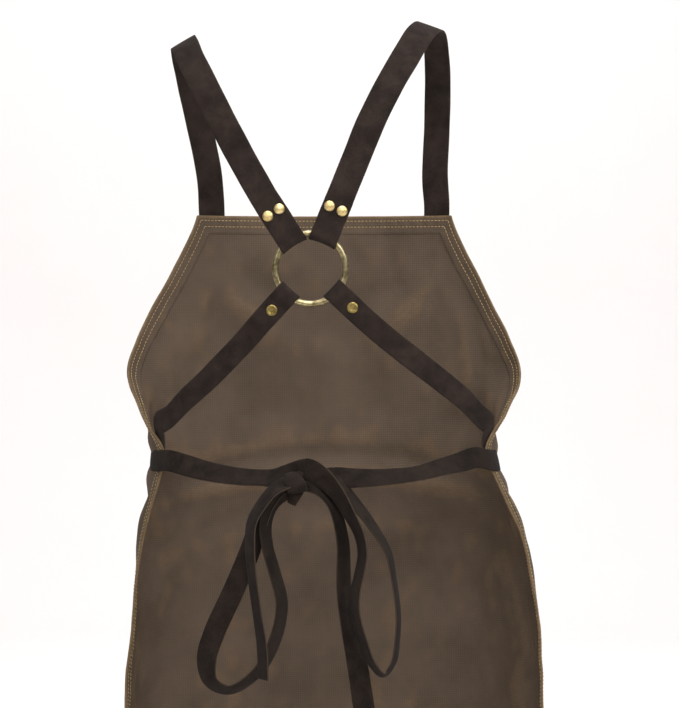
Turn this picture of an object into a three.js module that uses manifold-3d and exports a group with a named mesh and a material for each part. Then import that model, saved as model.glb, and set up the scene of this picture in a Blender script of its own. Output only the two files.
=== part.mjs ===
// A canvas work apron with crossed back straps, a back ring and a tied bow, in its worn form.
// Millimetres. +Z is up, the back faces -Y, and +X is on the right seen from behind.
// The origin lies between the shoulder straps, level with the tops of the shoulders.

import * as THREE from "three";
import { mergeVertices } from "three/addons/utils/BufferGeometryUtils.js";
import Module from "manifold-3d";

const wasm = await Module();
wasm.setup();

// Driving sizes
const GAP = 0.3;
const EASE = { bibSeam: 0.5, outsideSeam: 0.9, insideSeam: 1.2, ringLoop: 0.5, ringMouth: 1 };
const SHOULDER_STRAP = { width: 28.5, thickness: 1.5 };
const LOWER_STRAP = { width: 23.5, thickness: 1.5 };
const TIE = { width: 22, thickness: 1.6 };
const RING = { radius: 35.25, wire: 3.25, x: -12.5, y: -113, z: -245.5, around: 36, sides: 8 };
const KNOT = { x: -17, y: -124, z: -457 };
const PANEL = {
  width: 598,
  length: 840,
  top: -183,
  bibWidth: 280,
  armholeDrop: 246,
  armholeCurve: 1.2,
  thickness: 1.4,
  hem: 18,
  hemStep: 1.5,
  hemThickness: 2.4,
  columns: 28,
  bibRows: 6,
  waistBand: 32,
  waistRows: 2,
  skirtRows: 10,
};

// The worn form that the straps and ties lie on: rounded sections, and a dome for the shoulders.
const ROUNDNESS = 2.2;
const SHOULDER = { base: -113, rise: 138 };
const FORM = [
  { z: -113, halfWidth: 215, halfDepth: 108, middle: 0 },
  { z: -243, halfWidth: 195, halfDepth: 113, middle: 2 },
  { z: -333, halfWidth: 180, halfDepth: 116, middle: 6 },
  { z: -448, halfWidth: 180, halfDepth: 118, middle: 10 },
  { z: -713, halfWidth: 190, halfDepth: 122, middle: 14 },
];

// The outer face of the worn panel at each level: half a rounded hoop that opens to the back.
const HANG = [
  { z: -183, halfWidth: 207, halfDepth: 115, middle: 1, shift: 0 },
  { z: -335, halfWidth: 213, halfDepth: 121, middle: 5, shift: 0 },
  { z: -386, halfWidth: 190, halfDepth: 123, middle: 8, shift: 0 },
  { z: -429, halfWidth: 179, halfDepth: 124, middle: 10, shift: 0 },
  { z: -523, halfWidth: 201, halfDepth: 130, middle: 13, shift: 8 },
  { z: -600, halfWidth: 213, halfDepth: 136, middle: 14, shift: 11 },
  { z: -700, halfWidth: 221, halfDepth: 142, middle: 15, shift: 10 },
  { z: -1023, halfWidth: 233, halfDepth: 150, middle: 17, shift: 10 },
];

// Soft folds of the skirt: place across the cloth, breadth, depth at the hem, level where they begin.
const FOLDS = [
  { across: -262, breadth: 30, depth: -12, begin: -470 },
  { across: -196, breadth: 34, depth: 13, begin: -520 },
  { across: -108, breadth: 40, depth: -14, begin: -560 },
  { across: -22, breadth: 42, depth: 12, begin: -600 },
  { across: 64, breadth: 38, depth: -13, begin: -570 },
  { across: 146, breadth: 38, depth: 14, begin: -530 },
  { across: 226, breadth: 32, depth: -11, begin: -480 },
];

// The strap ends at the ring: direction from the ring's centre, clockwise from straight up, a sideways
// shift, and how far from the centre the rivets sit, the top layer lifts off and the under layer ends.
const LOOPS = {
  upperLeft: { angle: -32.6, shift: -1, rivet: 67, leave: 86, end: 78 },
  upperRight: { angle: 22, shift: 1, rivet: 65, leave: 86, end: 76 },
  lowerLeft: { angle: -137.7, shift: 0.5, rivet: 57, leave: 76, end: 67 },
  lowerRight: { angle: 133, shift: 0, rivet: 57.5, leave: 76, end: 67 },
};
const LOOP_CLOSES_BEFORE_RIVET = 8;
const LOOP_CLOSING_SHARES = [0.25, 0.5, 0.75];
const LOOP_TURN_DEGREES = 30;
const UPPER_RIVET_SPACING = 13.6;

// Rivets: a cap outside, a post through both layers and a plain base inside.
const RIVET = { post: 1.8, hole: 2.1, baseRadius: 4.6, baseHeight: 0.9, drill: 40, sides: 10 };
const DOMED_CAP = [
  { radius: 5.4, height: 0 },
  { radius: 5.4, height: 0.7 },
  { radius: 4.6, height: 1.7 },
  { radius: 2.6, height: 2.6 },
  { radius: 0, height: 2.9 },
];
const FLAT_CAP = [
  { radius: 5.6, height: 0 },
  { radius: 5.6, height: 0.8 },
  { radius: 5, height: 1.2 },
  { radius: 4.2, height: 0.9 },
  { radius: 0, height: 1.1 },
];

// Routes of the straps over the worn form, from the ring outwards.
const STRAP_LIFT = SHOULDER_STRAP.thickness / 2 + GAP;
const LEFT_SHOULDER_ROUTE = [
  { x: -82, y: -103, z: -134 },
  { x: -101, y: -99, z: -98 },
  { x: -120, y: -85, z: -60 },
  { x: -134, y: -66, z: -33 },
  { x: -142, y: -40, z: -14 },
  { x: -146, y: -4, z: -8 },
  { x: -146, y: 36, z: -18 },
  { x: -141, y: 66, z: -46 },
  { x: -132, y: 88, z: -92 },
  { x: -124, y: 96, z: -140 },
];
const RIGHT_SHOULDER_ROUTE = [
  { x: 33.5, y: -107, z: -134 },
  { x: 48, y: -103, z: -98 },
  { x: 67, y: -91, z: -60 },
  { x: 82, y: -76, z: -34 },
  { x: 97, y: -50, z: -8 },
  { x: 110, y: -10, z: 6 },
  { x: 117, y: 34, z: 0 },
  { x: 120, y: 68, z: -34 },
  { x: 121, y: 92, z: -88 },
  { x: 120, y: 98, z: -140 },
];
const LEFT_LOWER_ROUTE = [
  { x: -77.4, y: -101.9, z: -316.9 },
  { x: -116.8, y: -86, z: -357.3 },
  { x: -139.3, y: -71.1, z: -377.7 },
  { x: -155.5, y: -55.5, z: -394.3 },
];
const RIGHT_LOWER_ROUTE = [
  { x: 66.2, y: -104.4, z: -317 },
  { x: 118, y: -85.4, z: -357.3 },
  { x: 143, y: -68.1, z: -377.7 },
  { x: 158, y: -52.5, z: -393.3 },
];

// Where the straps and ties are sewn to the panel: arc from its centre line, drop from its top.
const BIB_SEAM = [
  { arc: 122.5, drop: -12 },
  { arc: 122, drop: 6 },
  { arc: 121, drop: 32 },
  { arc: 120, drop: 58 },
];
const SIDE_SEAM = [
  { arc: 297, drop: 222 },
  { arc: 290, drop: 236 },
  { arc: 282, drop: 252 },
  { arc: 270, drop: 268 },
];
const TIE_SEAM = [
  { arc: 260, drop: 258 },
  { arc: 278, drop: 258 },
  { arc: 296, drop: 258 },
  { arc: 305, drop: 257 },
];

// The waist runs of the ties over the worn form, from the panel to the knot, with their tilt.
const LEFT_RUN = [
  { x: -154.4, y: -56.8, z: -440.1, tilt: -8 },
  { x: -117.4, y: -84.2, z: -449.2, tilt: -34 },
  { x: -83.6, y: -97.5, z: -454.2, tilt: -43 },
  { x: -58.3, y: -103.4, z: -455.1, tilt: -46 },
];
const RIGHT_RUN = [
  { x: 154.7, y: -56.3, z: -436.6, tilt: 8 },
  { x: 137.8, y: -71.6, z: -441.1, tilt: 34 },
  { x: 116, y: -84.9, z: -446.1, tilt: 48 },
  { x: 94.5, y: -94, z: -451.3, tilt: 54 },
  { x: 62.2, y: -102.7, z: -454.5, tilt: 46 },
  { x: 35, y: -106.5, z: -455.3, tilt: 34 },
];

// Free stretches of the ties: place, distance out behind the knot's middle, and twist of the face.
const LEFT_RUN_IN = [
  { x: -45, z: -455, out: -9, twist: -30 },
  { x: -30, z: -454, out: -4, twist: -18 },
  { x: -17, z: -454, out: -2, twist: -10 },
];
const RIGHT_RUN_IN = [
  { x: 12, z: -455, out: -13, twist: 10 },
  { x: -4, z: -456, out: -12, twist: 4 },
  { x: -17, z: -457, out: -11.5, twist: 0 },
];
const LEFT_TAIL = [
  { x: -20, z: -454, out: 0, twist: 14 },
  { x: -38, z: -456, out: 5, twist: 32 },
  { x: -60, z: -471, out: 13, twist: 60 },
  { x: -71, z: -495, out: 18, twist: 64 },
  { x: -72, z: -522, out: 20, twist: 62 },
  { x: -70, z: -549, out: 21, twist: 66 },
  { x: -65, z: -586, out: 21, twist: 65 },
  { x: -60, z: -622, out: 20, twist: 60 },
  { x: -59, z: -656, out: 19, twist: 60 },
];
const RIGHT_TAIL = [
  { x: -23, z: -476, out: -3, twist: -52 },
  { x: -8, z: -475, out: -6, twist: -64 },
  { x: 5, z: -479.5, out: -9, twist: -64 },
  { x: 15, z: -496, out: -9, twist: -60 },
  { x: 20, z: -522, out: -6, twist: -56 },
  { x: 21, z: -567, out: -3, twist: -48 },
  { x: 27, z: -604, out: -3, twist: -36 },
  { x: 34, z: -640, out: -3, twist: -22 },
  { x: 41, z: -685, out: -3, twist: -12 },
  { x: 45, z: -710, out: -3, twist: -10 },
];
const LEFT_LOOP = [
  { x: -26, z: -477, out: 3, twist: 54 },
  { x: -40, z: -477, out: 1, twist: 56 },
  { x: -55, z: -484, out: -1, twist: 54 },
  { x: -66, z: -504, out: -2, twist: 36 },
  { x: -73, z: -528, out: -3, twist: 20 },
  { x: -90, z: -569, out: -4, twist: 12 },
  { x: -108, z: -609, out: -4, twist: 12 },
  { x: -116, z: -637, out: -4, twist: 24 },
  { x: -112, z: -660, out: -3, twist: 46 },
  { x: -94, z: -669, out: -3, twist: 62 },
  { x: -68, z: -653, out: -5, twist: 60 },
  { x: -50, z: -622, out: -4, twist: 58 },
  { x: -40, z: -580, out: -3, twist: 60 },
  { x: -48, z: -549, out: -4, twist: 62 },
  { x: -55, z: -524, out: -5, twist: 62 },
  { x: -53, z: -502, out: -6, twist: 60 },
  { x: -42, z: -484, out: -5, twist: 56 },
  { x: -26, z: -477, out: -4, twist: 50 },
];
const RIGHT_LOOP = [
  { x: -14, z: -452, out: 3, twist: -8 },
  { x: 6, z: -457, out: 4, twist: -38 },
  { x: 29, z: -477, out: 4, twist: -62 },
  { x: 49, z: -502, out: 3, twist: -66 },
  { x: 65, z: -529, out: 2, twist: -66 },
  { x: 71, z: -558, out: 1, twist: -66 },
  { x: 75, z: -590, out: 0, twist: -66 },
  { x: 74, z: -616, out: 0, twist: -66 },
  { x: 70, z: -639, out: 1, twist: -70 },
  { x: 60, z: -650, out: 4, twist: -74 },
  { x: 49, z: -639, out: 8, twist: -70 },
  { x: 39, z: -614, out: 13, twist: -66 },
  { x: 32, z: -586, out: 16, twist: -66 },
  { x: 33, z: -562, out: 16, twist: -66 },
  { x: 39, z: -540, out: 13, twist: -66 },
  { x: 39, z: -520, out: 9, twist: -66 },
  { x: 30, z: -497, out: 5, twist: -64 },
  { x: 13, z: -472, out: 0, twist: -46 },
  { x: -14, z: -457, out: -3, twist: -12 },
];

// The turn of the right tie round the knot, and the left tie's bunched cloth inside it.
const KNOT_TURN = { halfHeight: 20, halfDepth: 11.5, roundness: 2.6, lean: 0.35, stations: 20 };
const KNOT_CORE = { halfLength: 12, halfDepth: 7, halfHeight: 10, rise: 4, around: 14, rings: 8 };

const LANES = { strap: 4, tie: 2 };
const STEPS = { strap: 2, tie: 3 };
const SLOPE_STEP = 1;
const JOIN_TOLERANCE = 0.1;
const FORM_ROUNDS = 12;

const CANVAS = new THREE.MeshStandardMaterial({ color: 0x5e4a38, roughness: 0.9, metalness: 0 });
const STRAP_HIDE = new THREE.MeshStandardMaterial({ color: 0x3d302a, roughness: 0.8, metalness: 0 });
const TIE_HIDE = new THREE.MeshStandardMaterial({ color: 0x35292a, roughness: 0.85, metalness: 0 });
const AGED_BRASS = new THREE.MeshStandardMaterial({ color: 0x7d6d48, roughness: 0.35, metalness: 1 });
const BRASS = new THREE.MeshStandardMaterial({ color: 0xb59a5e, roughness: 0.3, metalness: 1 });

const OUT = new THREE.Vector3(0, -1, 0);

function vec(x, y, z) {
  return new THREE.Vector3(x, y, z);
}

function mix(from, to, share) {
  return from + (to - from) * share;
}

function smooth(share) {
  const held = Math.min(1, Math.max(0, share));
  return held * held * (3 - 2 * held);
}

// One column of a table of levels, smooth between its rows and level beyond its ends.
function columnAt(rows, column, z) {
  const last = rows.length - 1;
  if (z >= rows[0].z) return rows[0][column];
  if (z <= rows[last].z) return rows[last][column];
  const below = rows.findIndex((row) => row.z <= z);
  const slope = (k) => {
    if (k === 0 || k === last) return 0;
    return (rows[k + 1][column] - rows[k - 1][column]) / (rows[k + 1].z - rows[k - 1].z);
  };
  const upper = rows[below - 1];
  const lower = rows[below];
  const span = lower.z - upper.z;
  const t = (z - upper.z) / span;
  const values = mix(upper[column], lower[column], smooth(t));
  const slopes = t * (1 - t) * ((1 - t) * slope(below - 1) - t * slope(below));
  return values + span * slopes;
}

// Zero on the worn form, and more outside it.
function formValue(spot) {
  const across = Math.abs(spot.x / columnAt(FORM, "halfWidth", spot.z));
  const deep = Math.abs((spot.y - columnAt(FORM, "middle", spot.z)) / columnAt(FORM, "halfDepth", spot.z));
  const high = Math.max(0, spot.z - SHOULDER.base) / SHOULDER.rise;
  return across ** ROUNDNESS + deep ** ROUNDNESS + high ** 2 - 1;
}

function formGradient(spot) {
  const slope = (offset) => {
    const ahead = formValue(spot.clone().add(offset));
    const behind = formValue(spot.clone().sub(offset));
    return (ahead - behind) / (2 * SLOPE_STEP);
  };
  return vec(slope(vec(SLOPE_STEP, 0, 0)), slope(vec(0, SLOPE_STEP, 0)), slope(vec(0, 0, SLOPE_STEP)));
}

// The nearest place on the worn form, lifted off it, with the way that it faces.
function onForm(row, lift) {
  const place = vec(row.x, row.y, row.z);
  for (let round = 0; round < FORM_ROUNDS; round += 1) {
    const gradient = formGradient(place);
    place.addScaledVector(gradient, -formValue(place) / gradient.lengthSq());
  }
  const face = formGradient(place).normalize();
  return { place: place.addScaledVector(face, lift), face, twist: row.tilt ?? 0 };
}

// Half the flat width of the panel at a drop below its top edge.
function panelHalf(drop) {
  const share = Math.min(1, drop / PANEL.armholeDrop) ** PANEL.armholeCurve;
  return mix(PANEL.bibWidth, PANEL.width, share) / 2;
}

// The place at an arc length from the panel's centre line, on the smooth hoop of its level.
function hoopPlace(arc, drop) {
  const z = PANEL.top - drop;
  const halfWidth = columnAt(HANG, "halfWidth", z);
  const halfDepth = columnAt(HANG, "halfDepth", z);
  const rounded = (value) => Math.sign(value) * Math.abs(value) ** (2 / ROUNDNESS);
  const reach = Math.abs(arc);
  let x = 0;
  let y = halfDepth;
  let run = 0;
  for (let degree = 1; run < reach; degree += 1) {
    const angle = THREE.MathUtils.degToRad(degree);
    const nextX = halfWidth * rounded(Math.sin(angle));
    const nextY = halfDepth * rounded(Math.cos(angle));
    const stride = Math.hypot(nextX - x, nextY - y);
    const share = Math.min(1, (reach - run) / stride);
    x = mix(x, nextX, share);
    y = mix(y, nextY, share);
    run += stride;
  }
  return vec(Math.sign(arc) * x + columnAt(HANG, "shift", z), columnAt(HANG, "middle", z) + y, z);
}

function foldDepth(arc, drop) {
  const z = PANEL.top - drop;
  const hemLevel = PANEL.top - PANEL.length;
  return FOLDS.reduce((depth, fold) => {
    const grown = smooth((fold.begin - z) / (fold.begin - hemLevel));
    return depth + fold.depth * grown * Math.exp(-(((arc - fold.across) / fold.breadth) ** 2));
  }, 0);
}

// A place on the panel's outer face, lifted off it, with the way that it faces.
function onPanel(arc, drop, lift) {
  const across = hoopPlace(arc + SLOPE_STEP, drop).sub(hoopPlace(arc - SLOPE_STEP, drop));
  const down = hoopPlace(arc, drop + SLOPE_STEP).sub(hoopPlace(arc, drop - SLOPE_STEP));
  const face = across.cross(down).normalize();
  const place = hoopPlace(arc, drop).addScaledVector(face, foldDepth(arc, drop) + lift);
  return { place, face, twist: 0 };
}

// A closed sheet between an outer and an inner grid of points, open or joined end to end.
// Its quads are split the same way on both sides of the middle, so that the two halves match.
function sheetGeometry(outer, inner, joined = false) {
  const rows = outer.length;
  const columns = outer[0].length;
  const points = [...outer.flat(), ...inner.flat()].flatMap((point) => point.toArray());
  const top = (r, c) => (r % rows) * columns + c;
  const under = (r, c) => rows * columns + top(r, c);
  const index = [];
  const quad = (a, b, c, d) => index.push(a, b, c, a, c, d);
  const spans = joined ? rows : rows - 1;
  for (let r = 0; r < spans; r += 1) {
    for (let c = 0; c < columns - 1; c += 1) {
      if (2 * c + 1 < columns - 1) {
        quad(top(r, c), top(r, c + 1), top(r + 1, c + 1), top(r + 1, c));
        quad(under(r, c), under(r + 1, c), under(r + 1, c + 1), under(r, c + 1));
      } else {
        quad(top(r, c + 1), top(r + 1, c + 1), top(r + 1, c), top(r, c));
        quad(under(r, c + 1), under(r, c), under(r + 1, c), under(r + 1, c + 1));
      }
    }
    const edge = columns - 1;
    quad(top(r, 0), top(r + 1, 0), under(r + 1, 0), under(r, 0));
    quad(top(r, edge), under(r, edge), under(r + 1, edge), top(r + 1, edge));
  }
  for (let c = 0; !joined && c < columns - 1; c += 1) {
    const end = rows - 1;
    quad(top(0, c), under(0, c), under(0, c + 1), top(0, c + 1));
    quad(top(end, c), top(end, c + 1), under(end, c + 1), under(end, c));
  }
  const geometry = new THREE.BufferGeometry();
  geometry.setAttribute("position", new THREE.Float32BufferAttribute(points, 3));
  geometry.setIndex(index);
  return geometry;
}

// The two faces of a flat strap through stations that each have a place, a facing, a twist, and a bow.
function strapFaces(stations, size, lanes, joined) {
  const count = stations.length;
  const outer = [];
  const inner = [];
  stations.forEach((station, k) => {
    const ahead = joined ? stations[(k + 1) % count] : stations[Math.min(k + 1, count - 1)];
    const behind = joined ? stations[(k + count - 1) % count] : stations[Math.max(k - 1, 0)];
    const along = ahead.place.clone().sub(behind.place).normalize();
    const flatSide = along.clone().cross(station.face).normalize();
    const flatFace = flatSide.clone().cross(along);
    const twist = THREE.MathUtils.degToRad(station.twist ?? 0);
    const face = flatFace.multiplyScalar(Math.cos(twist)).addScaledVector(flatSide, Math.sin(twist));
    const side = along.clone().cross(face);
    const outerRow = [];
    const innerRow = [];
    for (let lane = 0; lane <= lanes; lane += 1) {
      const share = (2 * lane) / lanes - 1;
      const middle = station.place.clone().addScaledVector(side, (share * size.width) / 2);
      if (station.bow) middle.addScaledVector(station.axis, station.bow * (1 - share * share));
      outerRow.push(middle.clone().addScaledVector(face, size.thickness / 2));
      innerRow.push(middle.clone().addScaledVector(face, -size.thickness / 2));
    }
    outer.push(outerRow);
    inner.push(innerRow);
  });
  return { outer, inner };
}

function strapGeometry(stations, size, lanes, joined = false) {
  const { outer, inner } = strapFaces(stations, size, lanes, joined);
  return sheetGeometry(outer, inner, joined);
}

// Smooth stations through spots that each have a place, a facing and a twist.
function stationsThrough(spots, stepsPerRow) {
  const places = new THREE.CatmullRomCurve3(spots.map((spot) => spot.place));
  const count = (spots.length - 1) * stepsPerRow;
  const stations = [];
  for (let k = 0; k <= count; k += 1) {
    const row = Math.min(spots.length - 2, Math.floor(k / stepsPerRow));
    const share = k / stepsPerRow - row;
    const face = spots[row].face.clone().lerp(spots[row + 1].face, share).normalize();
    const twist = mix(spots[row].twist ?? 0, spots[row + 1].twist ?? 0, share);
    stations.push({ place: places.getPoint(k / count), face, twist });
  }
  return stations;
}

function loopAxis(loop) {
  const angle = THREE.MathUtils.degToRad(loop.angle);
  return vec(Math.sin(angle), 0, Math.cos(angle));
}

function ringPlace(loop, away, out, across = 0) {
  const axis = loopAxis(loop);
  const side = axis.clone().cross(OUT);
  return vec(RING.x, RING.y, RING.z)
    .addScaledVector(axis, away)
    .addScaledVector(OUT, out)
    .addScaledVector(side, loop.shift + across);
}

// A strap's end folded round the ring: the under layer, the turn round the wire and the top layer.
function ringStations(loop, size) {
  const axis = loopAxis(loop);
  const layer = size.thickness / 2 + GAP / 2;
  const over = RING.wire + EASE.ringLoop + size.thickness / 2;
  const chord = Math.sqrt(RING.radius ** 2 - (size.width / 2 + Math.abs(loop.shift)) ** 2);
  const turn = chord - RING.wire * (RING.radius / chord - 1);
  const bow = (RING.radius - chord) / 2;
  const open = RING.radius + RING.wire + EASE.ringMouth;
  const close = loop.rivet - LOOP_CLOSES_BEFORE_RIVET;
  const top = [{ away: open, out: over, bow }];
  for (const share of LOOP_CLOSING_SHARES) {
    const easing = smooth(share);
    top.push({ away: mix(open, close, share), out: mix(over, layer, easing), bow: bow * (1 - share) });
  }
  top.push({ away: close, out: layer, bow: 0 });
  const station = (row, side) => ({
    place: ringPlace(loop, row.away, row.out * side),
    face: OUT.clone().multiplyScalar(side),
    bow: row.bow,
    axis,
  });
  const underLayer = [{ away: loop.end, out: layer, bow: 0 }, ...top.slice().reverse()];
  const stations = underLayer.map((row) => station(row, -1));
  for (let degree = -90; degree <= 90; degree += LOOP_TURN_DEGREES) {
    const angle = THREE.MathUtils.degToRad(degree);
    const away = turn - over * Math.cos(angle);
    const face = axis.clone().multiplyScalar(-Math.cos(angle)).addScaledVector(OUT, Math.sin(angle));
    stations.push({ place: ringPlace(loop, away, over * Math.sin(angle)), face, bow, axis });
  }
  return [...stations, ...[...top, { away: loop.leave, out: layer, bow: 0 }].map((row) => station(row, 1))];
}

function solidOf(geometry) {
  const bare = geometry.clone();
  bare.deleteAttribute("normal");
  bare.deleteAttribute("uv");
  const merged = mergeVertices(bare);
  const vertProperties = merged.getAttribute("position").array;
  const triVerts = new Uint32Array(merged.index.array);
  return new wasm.Manifold(new wasm.Mesh({ numProp: 3, vertProperties, triVerts }));
}

function geometryOf(solid) {
  const mesh = solid.getMesh();
  const geometry = new THREE.BufferGeometry();
  geometry.setAttribute("position", new THREE.Float32BufferAttribute(mesh.vertProperties, 3));
  geometry.setIndex([...mesh.triVerts]);
  return geometry;
}

function joinAll(geometries) {
  const solids = geometries.map(solidOf);
  return geometryOf(solids.reduce((joined, next) => joined.add(next)).simplify(JOIN_TOLERANCE));
}

function punch(geometry, places) {
  const holes = places.map((place) => {
    const drill = new THREE.CylinderGeometry(RIVET.hole, RIVET.hole, RIVET.drill, RIVET.sides);
    return solidOf(drill.translate(place.x, place.y, place.z));
  });
  return geometryOf(holes.reduce((left, hole) => left.subtract(hole), solidOf(geometry)));
}

function panelGeometry() {
  const inside = PANEL.hem + PANEL.hemStep;
  const spread = (from, to, count) => Array.from({ length: count }, (_, k) => mix(from, to, k / count));
  const waist = [PANEL.armholeDrop, PANEL.armholeDrop + PANEL.waistBand];
  const end = PANEL.length - inside;
  const drops = [
    0,
    PANEL.hem,
    ...spread(inside, waist[0], PANEL.bibRows),
    ...spread(waist[0], waist[1], PANEL.waistRows),
    ...spread(waist[1], end, PANEL.skirtRows),
    end,
    PANEL.length - PANEL.hem,
    PANEL.length,
  ];
  const outer = [];
  const inner = [];
  drops.forEach((drop, r) => {
    const half = panelHalf(drop);
    const edge = half - PANEL.hem;
    const fold = half - inside;
    const arcs = [-half, -edge, ...spread(-fold, fold, PANEL.columns), fold, edge, half];
    const outerRow = [];
    const innerRow = [];
    arcs.forEach((arc, c) => {
      const inHem = r < 2 || c < 2 || r > drops.length - 3 || c > arcs.length - 3;
      const wall = inHem ? PANEL.hemThickness : PANEL.thickness;
      outerRow.push(onPanel(arc, drop, 0).place);
      innerRow.push(onPanel(arc, drop, -wall).place);
    });
    outer.push(outerRow);
    inner.push(innerRow);
  });
  return sheetGeometry(outer, inner);
}

function shoulderStrapGeometry(loop, route, hand) {
  const lift = EASE.bibSeam + SHOULDER_STRAP.thickness / 2;
  const seam = BIB_SEAM.map((row) => onPanel(hand * row.arc, row.drop, lift));
  const ringEnd = ringStations(loop, SHOULDER_STRAP);
  const spots = [ringEnd.at(-1), ...route.map((row) => onForm(row, STRAP_LIFT)), ...seam];
  const stations = [...ringEnd, ...stationsThrough(spots, STEPS.strap).slice(1)];
  const rivets = upperRivetPlaces(loop);
  return punch(strapGeometry(stations, SHOULDER_STRAP, LANES.strap), rivets);
}

function lowerStrapGeometry(loop, route, hand) {
  const depth = PANEL.hemThickness + EASE.insideSeam + LOWER_STRAP.thickness / 2;
  const seam = SIDE_SEAM.map((row) => onPanel(hand * row.arc, row.drop, -depth));
  const ringEnd = ringStations(loop, LOWER_STRAP);
  const spots = [ringEnd.at(-1), ...route.map((row) => onForm(row, STRAP_LIFT)), ...seam];
  const stations = [...ringEnd, ...stationsThrough(spots, STEPS.strap).slice(1)];
  return punch(strapGeometry(stations, LOWER_STRAP, LANES.strap), [ringPlace(loop, loop.rivet, 0)]);
}

function upperRivetPlaces(loop) {
  return [-1, 1].map((side) => ringPlace(loop, loop.rivet, 0, (side * UPPER_RIVET_SPACING) / 2));
}

function rivetGeometry(cap, strap) {
  const seat = strap.thickness + GAP / 2 + GAP;
  const profile = [
    new THREE.Vector2(0, -seat - RIVET.baseHeight),
    new THREE.Vector2(RIVET.baseRadius, -seat - RIVET.baseHeight),
    new THREE.Vector2(RIVET.baseRadius, -seat),
    new THREE.Vector2(RIVET.post, -seat),
    new THREE.Vector2(RIVET.post, seat),
    ...cap.map((row) => new THREE.Vector2(row.radius, seat + row.height)),
  ];
  return new THREE.LatheGeometry(profile, RIVET.sides).rotateX(Math.PI);
}

function freeSpots(rows) {
  return rows.map((row) => ({
    place: vec(row.x, KNOT.y - row.out, row.z),
    face: OUT.clone(),
    twist: row.twist,
  }));
}

function freeStrap(rows) {
  return strapGeometry(stationsThrough(freeSpots(rows), STEPS.tie), TIE, LANES.tie);
}

// A loop of the bow as its two strands, which meet at the lowest station.
function bowLoop(rows) {
  const stations = stationsThrough(freeSpots(rows), STEPS.tie);
  const { outer, inner } = strapFaces(stations, TIE, LANES.tie, false);
  const heights = stations.map((station) => station.place.z);
  const lowest = heights.indexOf(Math.min(...heights));
  const down = sheetGeometry(outer.slice(0, lowest + 1), inner.slice(0, lowest + 1));
  const up = sheetGeometry(outer.slice(lowest), inner.slice(lowest));
  return [down, up];
}

function runStrap(route, ending, hand) {
  const lift = EASE.outsideSeam + TIE.thickness / 2;
  const seam = TIE_SEAM.map((row) => onPanel(hand * row.arc, row.drop, lift));
  const spots = [...seam, ...route.map((row) => onForm(row, lift)), ...freeSpots(ending)];
  return strapGeometry(stationsThrough(spots, STEPS.strap), TIE, LANES.tie);
}

function knotTurn() {
  const rounded = (value) => Math.sign(value) * Math.abs(value) ** (2 / KNOT_TURN.roundness);
  const stations = [];
  for (let k = 0; k < KNOT_TURN.stations; k += 1) {
    const angle = (2 * Math.PI * k) / KNOT_TURN.stations;
    const rise = KNOT_TURN.halfHeight * rounded(Math.cos(angle));
    const out = KNOT_TURN.halfDepth * rounded(Math.sin(angle));
    const face = vec(0, -Math.sin(angle), Math.cos(angle));
    stations.push({ place: vec(KNOT.x + KNOT_TURN.lean * rise, KNOT.y - out, KNOT.z + rise), face });
  }
  return strapGeometry(stations, TIE, LANES.tie, true);
}

function knotCore() {
  return new THREE.SphereGeometry(1, KNOT_CORE.around, KNOT_CORE.rings)
    .scale(KNOT_CORE.halfLength, KNOT_CORE.halfDepth, KNOT_CORE.halfHeight)
    .translate(KNOT.x, KNOT.y, KNOT.z + KNOT_CORE.rise);
}

function leftTieGeometry() {
  const run = runStrap(LEFT_RUN, LEFT_RUN_IN, -1);
  return joinAll([run, knotCore(), ...bowLoop(RIGHT_LOOP), freeStrap(LEFT_TAIL)]);
}

function rightTieGeometry() {
  const run = runStrap(RIGHT_RUN, RIGHT_RUN_IN, 1);
  return joinAll([run, knotTurn(), ...bowLoop(LEFT_LOOP), freeStrap(RIGHT_TAIL)]);
}

const apron = new THREE.Group();

function add(name, geometry, material, place) {
  const mesh = new THREE.Mesh(geometry, material);
  mesh.name = name;
  if (place) mesh.position.copy(place);
  apron.add(mesh);
}

add("apron_panel", panelGeometry(), CANVAS);
add("shoulder_strap_left", shoulderStrapGeometry(LOOPS.upperLeft, LEFT_SHOULDER_ROUTE, -1), STRAP_HIDE);
add("shoulder_strap_right", shoulderStrapGeometry(LOOPS.upperRight, RIGHT_SHOULDER_ROUTE, 1), STRAP_HIDE);
add("lower_strap_left", lowerStrapGeometry(LOOPS.lowerLeft, LEFT_LOWER_ROUTE, -1), STRAP_HIDE);
add("lower_strap_right", lowerStrapGeometry(LOOPS.lowerRight, RIGHT_LOWER_ROUTE, 1), STRAP_HIDE);
add("waist_tie_left", leftTieGeometry(), TIE_HIDE);
add("waist_tie_right", rightTieGeometry(), TIE_HIDE);

const ring = new THREE.TorusGeometry(RING.radius, RING.wire, RING.sides, RING.around).rotateX(Math.PI / 2);
add("back_ring", ring, AGED_BRASS, vec(RING.x, RING.y, RING.z));

for (const [hand, loop] of [["left", LOOPS.upperLeft], ["right", LOOPS.upperRight]]) {
  upperRivetPlaces(loop).forEach((place, k) => {
    add(`rivet_upper_${hand}_${k + 1}`, rivetGeometry(DOMED_CAP, SHOULDER_STRAP), BRASS, place);
  });
}
for (const [hand, loop] of [["left", LOOPS.lowerLeft], ["right", LOOPS.lowerRight]]) {
  const place = ringPlace(loop, loop.rivet, 0);
  add(`rivet_lower_${hand}`, rivetGeometry(FLAT_CAP, LOWER_STRAP), BRASS, place);
}

export default apron;
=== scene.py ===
"""Dresses the worn canvas apron: hemmed panel, hide straps, back ring, rivets and ties in a bow."""

import math
from functools import partial

import bpy
import numpy as np
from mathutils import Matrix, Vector, noise


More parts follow.
